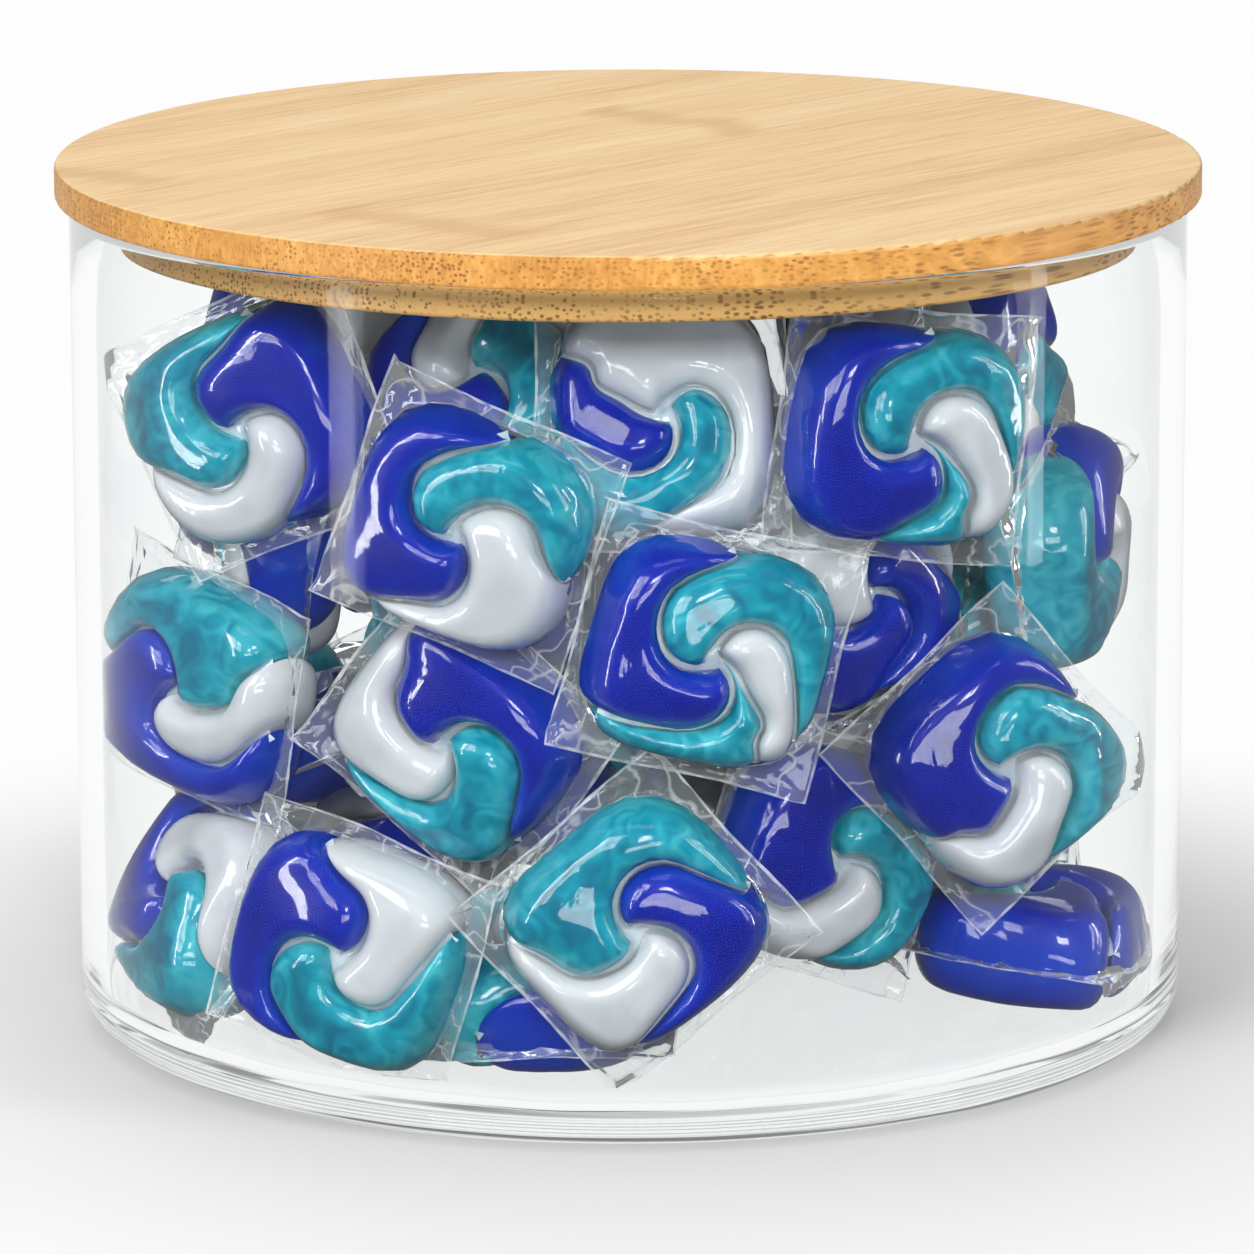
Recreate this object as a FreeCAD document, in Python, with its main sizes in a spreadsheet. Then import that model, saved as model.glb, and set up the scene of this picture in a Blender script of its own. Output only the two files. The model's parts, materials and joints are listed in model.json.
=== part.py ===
"""Glass pod jar: a thick-bottomed glass jar, a turned bamboo lid and a heap of film-sealed wash pods.

Millimetres, +Z up. The origin is at the centre of the ring the jar stands on, and +Z is the jar's axis.
The driving sizes are in the "Sizes" sheet. The jar and the lid are turned forms. One pod form is moulded
once and repeated: each pod is slid outward to the glass, or lowered onto those below, until it meets
something, so the heap follows any change to the jar or to the pod.
"""
import FreeCAD, Part
import Sketcher
import math
import os
from collections import namedtuple

DOC = FreeCAD.newDocument("glass_pod_jar")
VECTOR = FreeCAD.Vector
UP = VECTOR(0, 0, 1)

SIZES = {
    # jar
    "jar_width": 200.0,
    "jar_height": 150.0,
    "wall_thick": 4.5,
    "floor_thick": 6.0,
    "punt_rise": 1.2,        # how far the middle of the underside is hollowed
    "foot_width": 14.0,      # flat ring that the jar stands on, heel included
    "heel_round": 7.0,
    "inner_round": 5.0,      # inside, where the wall meets the floor
    "rim_round": 1.9,
    # lid
    "lid_overhang": 2.5,     # of the board, past the outside of the glass
    "board_thick": 6.0,
    "plug_depth": 7.0,
    "plug_gap": 2.5,         # all round, between the plug and the glass
    "lid_ease": 0.8,         # broken edges
    "lid_seat": 0.3,         # between the rim and the board
    # pod
    "pod_width": 40.0,
    "pod_depth": 37.0,
    "pod_corner": 12.0,
    "dome_height": 12.5,     # above the sealed film
    "belly_height": 9.5,     # below it
    "dome_radius": 34.0,     # of the crowned top
    "belly_radius": 45.0,
    "edge_round": 3.0,
    "film_border": 0.4,      # sealed film beyond the body
    "film_corner": 5.0,
    "film_thick": 0.5,
    "swirl_radius": 7.5,
    "swirl_offset": 6.8,     # from the pod's centre to each swirl's centre
    "swirl_start": 172.0,    # degrees round the swirl's centre, next to the pod's centre
    "swirl_end": 35.0,       # degrees, where the straight tail begins
    "swirl_heading": -27.0,
    "swirl_tail": 14.0,
    "swirl_slot": 1.4,
    "swirl_web": 3.0,        # left solid on each side of the film
    # heap
    "pod_gap": 0.25,
    "headroom": 2.0,         # between the heap and the plug
    "heap_dip": 16.0,        # the same in the middle of the jar
}


def fill_sheet():
    """Write the driving sizes into the sheet, one alias to a row."""
    sheet = DOC.addObject("Spreadsheet::Sheet", "Sizes")
    for row, (alias, value) in enumerate(SIZES.items(), start=1):
        sheet.set(f"A{row}", alias)
        sheet.set(f"B{row}", str(value))
        sheet.setAlias(f"B{row}", alias)
    DOC.recompute()
    return sheet


SHEET = fill_sheet()


def size(alias):
    """A driving size, read back from the sheet."""
    return float(getattr(SHEET, alias))


# ---- sketching -------------------------------------------------------------------------------

X_AXIS, Y_AXIS = -1, -2      # a sketch's own axes, as constraints number them


def new_body(name):
    body = DOC.addObject("PartDesign::Body", name)
    body.Label = name
    return body


def origin_feature(body, role):
    return next(item for item in body.Origin.OriginFeatures if item.Role == role)


def new_sketch(body, name, plane="XY_Plane", lift=None, turn=None):
    """A sketch on one of the body's own planes, lifted and turned by expressions where they are given."""
    sketch = body.newObject("Sketcher::SketchObject", name)
    sketch.AttachmentSupport = [(origin_feature(body, plane), "")]
    sketch.MapMode = "FlatFace"
    if lift:
        sketch.setExpression("AttachmentOffset.Base.z", lift)
    if turn:
        sketch.setExpression("AttachmentOffset.Rotation.Angle", turn)
    return sketch


def constrain(sketch, kind, *where):
    return sketch.addConstraint(Sketcher.Constraint(kind, *where))


def dimension(sketch, expression, kind, *where):
    """A constraint whose size is bound to the sheet; its present value comes last in where."""
    index = constrain(sketch, kind, *where)
    sketch.setExpression(f"Constraints[{index}]", expression)


def add_line(sketch, start, end, construction=False):
    return sketch.addGeometry(Part.LineSegment(VECTOR(*start, 0), VECTOR(*end, 0)), construction)


def add_arc(sketch, centre, radius, first, last):
    """Arc of a circle, counter-clockwise from one angle in degrees to another."""
    circle = Part.Circle(VECTOR(*centre, 0), UP, radius)
    arc = Part.ArcOfCircle(circle, math.radians(first), math.radians(last))
    return sketch.addGeometry(arc, False)


def pin(sketch, line, point, across, along):
    """Hold a line's point at (expression, value) distances from the origin; None puts it on that axis."""
    for kind, axis, given in (("DistanceX", Y_AXIS, across), ("DistanceY", X_AXIS, along)):
        if given is None:
            constrain(sketch, "PointOnObject", line, point, axis)
        else:
            expression, value = given
            dimension(sketch, expression, kind, X_AXIS, 1, line, point, value)


def add_rounded_rectangle(sketch, width, depth, corner):
    """Rectangle about the origin with equal round corners; each size is an (expression, value) pair."""
    half_w, half_d, radius = width[1] / 2, depth[1] / 2, corner[1]
    in_w, in_d = half_w - radius, half_d - radius
    sides = [
        add_line(sketch, (-in_w, -half_d), (in_w, -half_d)),
        add_line(sketch, (half_w, -in_d), (half_w, in_d)),
        add_line(sketch, (in_w, half_d), (-in_w, half_d)),
        add_line(sketch, (-half_w, in_d), (-half_w, -in_d)),
    ]
    arcs = [
        add_arc(sketch, (in_w, -in_d), radius, -90, 0),
        add_arc(sketch, (in_w, in_d), radius, 0, 90),
        add_arc(sketch, (-in_w, in_d), radius, 90, 180),
        add_arc(sketch, (-in_w, -in_d), radius, 180, 270),
    ]
    for number, arc in enumerate(arcs):
        constrain(sketch, "Tangent", sides[number], 2, arc, 1)
        constrain(sketch, "Tangent", arc, 2, sides[(number + 1) % 4], 1)
        if number:
            constrain(sketch, "Equal", arcs[0], arc)
    for side, kind in zip(sides, ("Horizontal", "Vertical", "Horizontal", "Vertical")):
        constrain(sketch, kind, side)
    dimension(sketch, corner[0], "Radius", arcs[0], radius)
    dimension(sketch, f"-({depth[0]}) / 2", "DistanceY", X_AXIS, 1, sides[0], 1, -half_d)
    dimension(sketch, f"({width[0]}) / 2", "DistanceX", X_AXIS, 1, sides[1], 1, half_w)
    dimension(sketch, f"({depth[0]}) / 2", "DistanceY", X_AXIS, 1, sides[2], 1, half_d)
    dimension(sketch, f"-({width[0]}) / 2", "DistanceX", X_AXIS, 1, sides[3], 1, -half_w)


# ---- features --------------------------------------------------------------------------------

def turn_about_z(body, kind, name, sketch):
    """Revolution or Groove of a half section, once round the body's own Z axis."""
    feature = body.newObject(kind, name)
    feature.Profile = sketch
    feature.ReferenceAxis = (origin_feature(body, "Z_Axis"), [""])
    feature.Angle = 360
    DOC.recompute()
    return feature


def add_pad(body, name, sketch, length, side="One side", reverse=False):
    pad = body.newObject("PartDesign::Pad", name)
    pad.Profile = sketch
    pad.SideType = side
    pad.Reversed = reverse
    pad.setExpression("Length", length)
    DOC.recompute()
    return pad


def round_edges(body, name, chosen, radius):
    """Fillet those edges of the body's last feature that the chosen test picks."""
    base = body.Tip
    names = [f"Edge{n}" for n, edge in enumerate(base.Shape.Edges, start=1) if chosen(edge)]
    fillet = body.newObject("PartDesign::Fillet", name)
    fillet.Base = (base, names)
    fillet.setExpression("Radius", radius)
    DOC.recompute()
    return fillet


def ring_at(radius, height):
    """Test for a circular edge about Z with that radius and height."""
    def test(edge):
        if edge.Degenerated or not isinstance(edge.Curve, Part.Circle):
            return False
        curve = edge.Curve
        on_axis = math.hypot(curve.Center.x, curve.Center.y) < 0.001
        return on_axis and abs(curve.Radius - radius) < 0.001 and abs(curve.Center.z - height) < 0.001
    return test


# ---- jar -------------------------------------------------------------------------------------

INNER_RADIUS = size("jar_width") / 2 - size("wall_thick")


def make_jar():
    """Straight glass wall on a thick floor, hollowed a little underneath, with fire-rounded edges."""
    body = new_body("jar")
    outer = size("jar_width") / 2
    foot = outer - size("foot_width")
    top, floor, rise = size("jar_height"), size("floor_thick"), size("punt_rise")
    section = new_sketch(body, "jar_section", "XZ_Plane")
    corners = [(foot, 0), (outer, 0), (outer, top), (INNER_RADIUS, top), (INNER_RADIUS, floor),
               (0, floor), (0, rise)]
    lines = [add_line(section, a, b) for a, b in zip(corners, corners[1:])]
    for here, after in zip(lines, lines[1:]):
        constrain(section, "Coincident", here, 2, after, 1)
    wide = ("Sizes.jar_width / 2", outer)
    narrow = ("Sizes.jar_width / 2 - Sizes.wall_thick", INNER_RADIUS)
    tall = ("Sizes.jar_height", top)
    deep = ("Sizes.floor_thick", floor)
    pin(section, lines[0], 1, ("Sizes.jar_width / 2 - Sizes.foot_width", foot), None)
    pin(section, lines[1], 1, wide, None)
    pin(section, lines[2], 1, wide, tall)
    pin(section, lines[3], 1, narrow, tall)
    pin(section, lines[4], 1, narrow, deep)
    pin(section, lines[5], 1, None, deep)
    pin(section, lines[5], 2, None, ("Sizes.punt_rise", rise))
    # the hollow underneath is one shallow arc, centred on the axis below the jar
    radius = (foot ** 2 + rise ** 2) / (2 * rise)
    lean = math.degrees(math.asin(foot / radius))
    punt = add_arc(section, (0, rise - radius), radius, 90 - lean, 90)
    constrain(section, "Coincident", punt, 1, lines[0], 1)
    constrain(section, "Coincident", punt, 2, lines[5], 2)
    constrain(section, "PointOnObject", punt, 3, Y_AXIS)
    turn_about_z(body, "PartDesign::Revolution", "jar_turned", section)
    round_edges(body, "jar_heel", ring_at(outer, 0), "Sizes.heel_round")
    round_edges(body, "jar_inner_corner", ring_at(INNER_RADIUS, floor), "Sizes.inner_round")
    round_edges(body, "jar_rim_outside", ring_at(outer, top), "Sizes.rim_round")
    round_edges(body, "jar_rim_inside", ring_at(INNER_RADIUS, top), "Sizes.rim_round")
    return body


# ---- lid -------------------------------------------------------------------------------------

BOARD_UNDER = size("jar_height") + size("lid_seat")
PLUG_UNDER = BOARD_UNDER - size("plug_depth")
PLUG_RADIUS = INNER_RADIUS - size("plug_gap")


def add_disc(body, name, lift, radius, length, reverse=False):
    """Round pad about Z; radius is an (expression, value) pair."""
    sketch = new_sketch(body, f"{name}_outline", lift=lift)
    circle = sketch.addGeometry(Part.Circle(VECTOR(0, 0, 0), UP, radius[1]), False)
    constrain(sketch, "Coincident", circle, 3, X_AXIS, 1)
    dimension(sketch, radius[0], "Radius", circle, radius[1])
    return add_pad(body, name, sketch, length, reverse=reverse)


def make_lid():
    """Flat board that overhangs the rim a little, with a plug below it that drops into the mouth."""
    body = new_body("lid")
    under = "Sizes.jar_height + Sizes.lid_seat"
    board_radius = size("jar_width") / 2 + size("lid_overhang")
    plug = "Sizes.jar_width / 2 - Sizes.wall_thick - Sizes.plug_gap"
    add_disc(body, "lid_board", under, ("Sizes.jar_width / 2 + Sizes.lid_overhang", board_radius), "Sizes.board_thick")
    add_disc(body, "lid_plug", under, (plug, PLUG_RADIUS), "Sizes.plug_depth", reverse=True)
    top = BOARD_UNDER + size("board_thick")
    round_edges(body, "lid_top_edge", ring_at(board_radius, top), "Sizes.lid_ease")
    round_edges(body, "lid_under_edge", ring_at(board_radius, BOARD_UNDER), "Sizes.lid_ease")
    round_edges(body, "lid_plug_edge", ring_at(PLUG_RADIUS, PLUG_UNDER), "Sizes.lid_ease")
    return body


# ---- pod -------------------------------------------------------------------------------------

CROWN_REACH = 0.7            # of the pod's width: past the corners, and inside the crown's radius


def crown(body, name, height, radius, above):
    """Turn away everything beyond a sphere that tops one face of the pillow at the given height."""
    sign = 1 if above else -1
    top, reach = sign * size(height), CROWN_REACH * size("pod_width")
    round_off = size(radius)
    middle = top - sign * round_off
    edge = middle + sign * math.sqrt(round_off ** 2 - reach ** 2)
    lean = math.degrees(math.asin(reach / round_off))
    section = new_sketch(body, f"{name}_section", "XZ_Plane")
    if above:
        arc = add_arc(section, (0, middle), round_off, 90 - lean, 90)
        pole, rim = 2, 1
    else:
        arc = add_arc(section, (0, middle), round_off, 270, 270 + lean)
        pole, rim = 1, 2
    side = add_line(section, (reach, edge), (reach, 2 * top))
    lid = add_line(section, (reach, 2 * top), (0, 2 * top))
    axis = add_line(section, (0, 2 * top), (0, top))
    for first, first_end, second, second_end in ((arc, rim, side, 1), (side, 2, lid, 1),
                                                 (lid, 2, axis, 1), (axis, 2, arc, pole)):
        constrain(section, "Coincident", first, first_end, second, second_end)
    constrain(section, "PointOnObject", arc, 3, Y_AXIS)
    dimension(section, f"Sizes.{radius}", "Radius", arc, round_off)
    prefix = "" if above else "-"
    pin(section, axis, 2, None, (f"{prefix}Sizes.{height}", top))
    pin(section, axis, 1, None, (f"{prefix}Sizes.{height} * 2", 2 * top))
    constrain(section, "Horizontal", lid)
    constrain(section, "Vertical", side)
    dimension(section, f"Sizes.pod_width * {CROWN_REACH}", "DistanceX", X_AXIS, 1, side, 2, reach)
    return turn_about_z(body, "PartDesign::Groove", name, section)


def crown_edge(height, radius, above):
    """Test for the edges where one crown meets the pillow's sides."""
    sign = 1 if above else -1
    middle = VECTOR(0, 0, sign * (size(height) - size(radius)))

    def test(edge):
        if edge.Degenerated:
            return False
        ends = [vertex.Point for vertex in edge.Vertexes]
        if min(math.hypot(point.x, point.y) for point in ends) < size("pod_depth") / 4:
            return False
        halfway = edge.valueAt((edge.FirstParameter + edge.LastParameter) / 2)
        on_crown = [abs(point.distanceToPoint(middle) - size(radius)) < 0.001 for point in ends + [halfway]]
        return all(on_crown)
    return test


def add_swirl_arm(sketch):
    """Outline of one seam between chambers: an arc out of the middle that runs on into a straight tail."""
    radius, slot, offset = size("swirl_radius"), size("swirl_slot"), size("swirl_offset")
    first, last, tail = size("swirl_end"), size("swirl_start"), size("swirl_tail")
    centre = (offset, 0)
    bend = math.radians(first)
    run = (tail * math.sin(bend), -tail * math.cos(bend))

    def on_circle(reach, angle):
        return (offset + reach * math.cos(math.radians(angle)), reach * math.sin(math.radians(angle)))

    def moved(point):
        return (point[0] + run[0], point[1] + run[1])

    inside, outside = radius - slot / 2, radius + slot / 2
    outer = add_arc(sketch, centre, outside, first, last)
    inner = add_arc(sketch, centre, inside, first, last)
    cap = add_line(sketch, on_circle(outside, last), on_circle(inside, last))
    outer_tail = add_line(sketch, on_circle(outside, first), moved(on_circle(outside, first)))
    inner_tail = add_line(sketch, on_circle(inside, first), moved(on_circle(inside, first)))
    end = add_line(sketch, moved(on_circle(outside, first)), moved(on_circle(inside, first)))
    start_ray = add_line(sketch, centre, on_circle(outside, last), True)
    end_ray = add_line(sketch, centre, on_circle(outside, first), True)
    constrain(sketch, "PointOnObject", outer, 3, X_AXIS)
    dimension(sketch, "Sizes.swirl_offset", "DistanceX", X_AXIS, 1, outer, 3, offset)
    constrain(sketch, "Coincident", inner, 3, outer, 3)
    dimension(sketch, "Sizes.swirl_radius + Sizes.swirl_slot / 2", "Radius", outer, outside)
    dimension(sketch, "Sizes.swirl_radius - Sizes.swirl_slot / 2", "Radius", inner, inside)
    for ray, end_point, angle, value in ((start_ray, 2, "Sizes.swirl_start", last),
                                         (end_ray, 1, "Sizes.swirl_end", first)):
        constrain(sketch, "Coincident", ray, 1, outer, 3)
        constrain(sketch, "Coincident", ray, 2, outer, end_point)
        constrain(sketch, "PointOnObject", inner, end_point, ray)
        dimension(sketch, f"{angle} * 1 deg", "Angle", ray, math.radians(value))
    constrain(sketch, "Coincident", cap, 1, outer, 2)
    constrain(sketch, "Coincident", cap, 2, inner, 2)
    constrain(sketch, "Coincident", outer_tail, 1, outer, 1)
    constrain(sketch, "Coincident", inner_tail, 1, inner, 1)
    constrain(sketch, "Perpendicular", outer_tail, end_ray)
    constrain(sketch, "Perpendicular", inner_tail, end_ray)
    constrain(sketch, "Coincident", end, 1, outer_tail, 2)
    constrain(sketch, "Coincident", end, 2, inner_tail, 2)
    constrain(sketch, "Perpendicular", end, outer_tail)
    dimension(sketch, "Sizes.swirl_tail", "Distance", outer_tail, tail)


def cut_swirl(body, name, lift, reverse):
    """Three narrow seams, a third of a turn apart, cut from the web out through one face."""
    sketch = new_sketch(body, f"{name}_outline", lift=lift, turn="Sizes.swirl_heading * 1 deg")
    add_swirl_arm(sketch)
    DOC.recompute()
    pocket = body.newObject("PartDesign::Pocket", name)
    pocket.Profile = sketch
    pocket.Type = "ThroughAll"
    pocket.Reversed = reverse
    DOC.recompute()
    pattern = body.newObject("PartDesign::PolarPattern", f"{name}_pattern")
    pattern.Originals = [pocket]
    pattern.Axis = (origin_feature(body, "Z_Axis"), [""])
    pattern.Angle = 360
    pattern.Occurrences = 3
    body.Tip = pattern
    DOC.recompute()


def make_pod_form():
    """Sealed pod about its film: a crowned, rounded square above and below, in three swirled chambers."""
    body = new_body("pod_form")
    width = ("Sizes.pod_width", size("pod_width"))
    depth = ("Sizes.pod_depth", size("pod_depth"))
    plan = new_sketch(body, "pod_plan")
    add_rounded_rectangle(plan, width, depth, ("Sizes.pod_corner", size("pod_corner")))
    add_pad(body, "pod_dome", plan, "Sizes.dome_height")
    under = new_sketch(body, "pod_plan_under")
    add_rounded_rectangle(under, width, depth, ("Sizes.pod_corner", size("pod_corner")))
    add_pad(body, "pod_belly", under, "Sizes.belly_height", reverse=True)
    crown(body, "pod_dome_crown", "dome_height", "dome_radius", True)
    crown(body, "pod_belly_crown", "belly_height", "belly_radius", False)
    round_edges(body, "pod_dome_edge", crown_edge("dome_height", "dome_radius", True), "Sizes.edge_round")
    round_edges(body, "pod_belly_edge", crown_edge("belly_height", "belly_radius", False),
                "Sizes.edge_round")
    cut_swirl(body, "pod_dome_swirl", "Sizes.swirl_web", True)
    cut_swirl(body, "pod_belly_swirl", "-Sizes.swirl_web", False)
    film = new_sketch(body, "pod_film_outline")
    border = 2 * size("film_border")
    add_rounded_rectangle(film, ("Sizes.pod_width + 2 * Sizes.film_border", width[1] + border),
                          ("Sizes.pod_depth + 2 * Sizes.film_border", depth[1] + border),
                          ("Sizes.film_corner", size("film_corner")))
    add_pad(body, "pod_film", film, "Sizes.film_thick", side="Symmetric")
    return body


# ---- seating ---------------------------------------------------------------------------------

CLOSE = 0.1                  # a distance taken as nothing
STRIDE = 4.0                 # the longest sidestep a pod tries on its way
SIDESTEPS = [(0, 0), (0.5, 0), (-0.5, 0), (0, 0.5), (0, -0.5), (1.5, 0), (-1.5, 0), (0, 1.5), (0, -1.5)]
HULL_HEADINGS = 600          # tried over one quarter of a sphere
GOLDEN_ANGLE = 137.5

SIZE = {alias: size(alias) for alias in SIZES}
GAP = SIZE["pod_gap"]
FLOOR = SIZE["floor_thick"]
POD_REACH = math.hypot(SIZE["pod_width"], SIZE["pod_depth"]) / 2 + SIZE["film_border"]
POD_FORM = make_pod_form()


def hull_points(shape):
    """Points of one quarter of a shape that lie farthest along some heading, above and below its film.

    The shape is alike on both sides of its XZ and YZ planes, so one quarter of its hull serves for all.
    """
    found, _ = shape.tessellate(CLOSE / 2)
    quarter = [point for point in found if point.x > -CLOSE and point.y > -CLOSE]
    above, below = set(), set()
    for number in range(HULL_HEADINGS):
        rise = 2 * (number + 0.5) / HULL_HEADINGS - 1
        bearing = math.radians(GOLDEN_ANGLE * number % 90)
        level = math.sqrt(1 - rise ** 2)
        heading = VECTOR(level * math.cos(bearing), level * math.sin(bearing), rise)
        best = max(range(len(quarter)), key=lambda n: quarter[n].dot(heading))
        (above if rise > 0 else below).add(best)
    return [quarter[n] for n in sorted(above)], [quarter[n] for n in sorted(below)]


DOME_POINTS, BELLY_POINTS = hull_points(POD_FORM.Shape)


def outline_point(heading):
    """Point of a pod that lies farthest along a heading, in the pod's own frame."""
    quarter = VECTOR(abs(heading.x), abs(heading.y), heading.z)
    best = max(DOME_POINTS if heading.z > 0 else BELLY_POINTS, key=quarter.dot)
    return VECTOR(math.copysign(best.x, heading.x), math.copysign(best.y, heading.y), best.z)


class SeatedPod:
    """A pod's place in the heap: where its centre is, and how its own frame is turned."""

    def __init__(self, centre, rotation):
        self.centre = centre
        self.rotation = rotation
        self.inverse = rotation.inverted()

    def farthest(self, heading):
        return self.centre + self.rotation.multVec(outline_point(self.inverse.multVec(heading)))

    def moved(self, step):
        return SeatedPod(self.centre + step, self.rotation)


def gap_between(one, other, enough):
    """Shortest way from one pod's outline to the other's; negative where they overlap.

    Each round looks along the best line found so far, and it stops once the gap is surely enough.
    """
    line = other.centre - one.centre
    sure = -POD_REACH
    for _ in range(40):
        if line.Length < CLOSE:
            break
        heading = line / line.Length
        step = other.farthest(-heading) - one.farthest(heading)
        sure = max(sure, step.dot(heading))
        turn = step - line
        if sure > enough or line.Length - sure < CLOSE / 2 or turn.Length < CLOSE / 100:
            break
        share = -line.dot(turn) / turn.dot(turn)
        line = line + turn * min(1, max(0, share))
    return sure


def glass_room(pod):
    """Clearance to the wall and to the round where it meets the floor, on both sides of the pod's azimuth."""
    azimuth = math.degrees(math.atan2(pod.centre.y, pod.centre.x))
    corner = SIZE["inner_round"]
    room = INNER_RADIUS
    for dip in (0, 30, 60) if pod.centre.z < FLOOR + POD_REACH else (0,):
        level, down = math.cos(math.radians(dip)), math.sin(math.radians(dip))
        limit = (INNER_RADIUS - corner) * level - (FLOOR + corner) * down + corner
        for aside in range(-45, 46, 5):
            bearing = math.radians(azimuth + aside)
            heading = VECTOR(math.cos(bearing) * level, math.sin(bearing) * level, -down)
            room = min(room, limit - pod.farthest(heading).dot(heading))
    return room


def room_round(pod, seated, enough=POD_REACH):
    """Least clearance of a pod to the glass, the floor, the plug and the pods already seated."""
    under_plug = PLUG_UNDER - SIZE["headroom"] + GAP - pod.farthest(UP).z
    room = min(enough, glass_room(pod), pod.farthest(-UP).z - FLOOR, under_plug)
    for other in seated:
        if room < 0:
            break
        if other.centre.distanceToPoint(pod.centre) < 2 * POD_REACH + room:
            room = min(room, gap_between(pod, other, room))
    return room


def settle(pod, heading, seated, stray):
    """Move a pod along a heading, round what it meets, and return it where it can go no farther.

    It leaves its line by less than the stray, and the result is None if it has no room to start.
    """
    room = room_round(pod, seated)
    if room < GAP:
        return None
    while room > GAP + CLOSE:
        pod = pod.moved(heading * (room - GAP))
        room = room_round(pod, seated)
    start = pod.centre
    across = heading.cross(VECTOR(0.6, 0.8, 0) if abs(heading.z) > 0.5 else UP)
    ways = [heading + across * a + across.cross(heading) * b for a, b in SIDESTEPS]
    stride = STRIDE
    while stride > CLOSE * 2:
        for way in ways:
            tried = pod.moved(way * stride)
            strayed = (tried.centre - start).cross(heading).Length
            if strayed < stray and room_round(tried, seated, GAP + CLOSE) > GAP:
                pod = tried
                break
        else:
            stride = stride / 2
    return pod


# ---- heap ------------------------------------------------------------------------------------

# How the pods lie against the glass, seen from outside: along the wall and up from the floor in pod
# widths, then degrees of spin about the pod's own axis, of tip (face up) and of turn (face to the right),
# and whether the belly faces out. The lay reaches less than halfway round, and is laid again on each side.
Lie = namedtuple("Lie", "along up spin tip turn belly_out")
LAY = [
    Lie(0.33, 1.96, -16, 0, 0, False),
    Lie(-0.68, 2.49, -20, 0, 0, False),
    Lie(-0.82, 1.55, -39, -5, 0, False),
    Lie(0.02, 0.77, 40, 0, 0, False),
    Lie(-1.24, 0.52, 165, 0, 10, True),
    Lie(1.24, 2.83, -8, 0, -15, False),
    Lie(1.95, 1.27, -50, 0, -35, False),
    Lie(-2.03, 2.79, 205, 0, 35, False),
    Lie(-2.32, 1.55, -12, 0, 20, True),
    Lie(1.45, 0.80, 160, 0, -15, False),
    Lie(0.12, 2.95, 90, 25, 0, False),
    Lie(2.60, 0.30, 0, 85, 0, False),
    Lie(2.60, 2.10, 20, 0, 0, False),
    Lie(2.95, 2.95, 30, 0, -25, False),
    Lie(-2.30, 0.60, -15, 25, 0, False),
    Lie(-2.75, 2.14, -30, 0, 0, False),
    Lie(1.40, 2.00, 20, 0, 0, False),
    Lie(-0.55, 0.30, 10, 65, 0, False),
    Lie(-1.00, 3.00, 40, 40, 0, False),
    Lie(-1.32, 2.12, 0, 0, 0, False),
    Lie(-2.80, 2.90, 0, 0, 20, False),
    Lie(2.95, 2.50, 70, 0, 0, False),
    Lie(2.95, 1.40, -60, 0, 0, False),
]
LAY_LENGTH = 5.9             # pod widths from one lay to the next
DEEPEST = {0: 24, 1: 3, -1: 3}      # twentieths of a pod width that a pod may start inside, in each lay
FILL_PLACES = 32             # spread over the jar's floor like the seeds of a sunflower
FILL_LAYERS = 6              # tried in each pod width of height
FILL_TIPS = (88, 70, 30, -60, 0)


def outward(azimuth):
    return VECTOR(math.sin(azimuth), -math.cos(azimuth), 0)


def facing_out(azimuth, lie):
    """Rotation of a pod that faces outward at an azimuth, with its spin, tip and turn."""
    right = VECTOR(math.cos(azimuth), math.sin(azimuth), 0)
    turned = FreeCAD.Rotation(VECTOR(0, 1, 0), lie.turn)
    tipped = FreeCAD.Rotation(VECTOR(1, 0, 0), -lie.tip)
    spun = FreeCAD.Rotation(UP, lie.spin)
    over = FreeCAD.Rotation(VECTOR(0, 1, 0), 180 if lie.belly_out else 0)
    return FreeCAD.Rotation(right, UP, outward(azimuth), "ZXY") * turned * tipped * spun * over


def within_height(pod, ceiling):
    """The pod, raised off the floor or lowered from the ceiling if it starts outside them."""
    raised = max(0, FLOOR + GAP + CLOSE - pod.farthest(-UP).z)
    lowered = max(0, pod.farthest(UP).z + CLOSE - ceiling)
    return pod.moved(UP * (raised - lowered))


def lay_at_wall(lie, lap, seated):
    """One pod of the lay, as far out as it finds room at its azimuth, then slid outward from there."""
    width = size("pod_width")
    lane = INNER_RADIUS - size("dome_height")
    azimuth = (lie.along + lap * LAY_LENGTH) * width / lane
    rotation = facing_out(azimuth, lie)
    for step in range(DEEPEST[lap]):
        centre = outward(azimuth) * (lane - step * width / 20) + UP * (FLOOR + lie.up * width)
        first = within_height(SeatedPod(centre, rotation), PLUG_UNDER - size("headroom"))
        pod = settle(first, outward(azimuth), seated, width / 20)
        if pod:
            return pod
    return None


def fill_heap(seated):
    """Pods in the room that is left, from the floor up: each sinks until it rests on something."""
    width = size("pod_width")
    heap = list(seated)
    tries = 0
    for layer in range(int((PLUG_UNDER - FLOOR) / width * FILL_LAYERS)):
        height = FLOOR + (layer + 0.5) * width / FILL_LAYERS
        for place in range(FILL_PLACES):
            azimuth = math.radians(GOLDEN_ANGLE * place)
            reach = (INNER_RADIUS - width / 3) * math.sqrt(place / FILL_PLACES)
            lowered = size("heap_dip") if reach < INNER_RADIUS / 2 else size("headroom")
            for tip in FILL_TIPS:
                tries = tries + 1
                rotation = facing_out(azimuth, Lie(0, 0, 90 * tries, tip, 0, tries % 3 == 0))
                start = outward(azimuth) * reach + UP * height
                first = within_height(SeatedPod(start, rotation), PLUG_UNDER - lowered)
                pod = settle(first, -UP, heap, width / 2)
                if pod:
                    heap.append(pod)
                    break
    return heap


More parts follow.
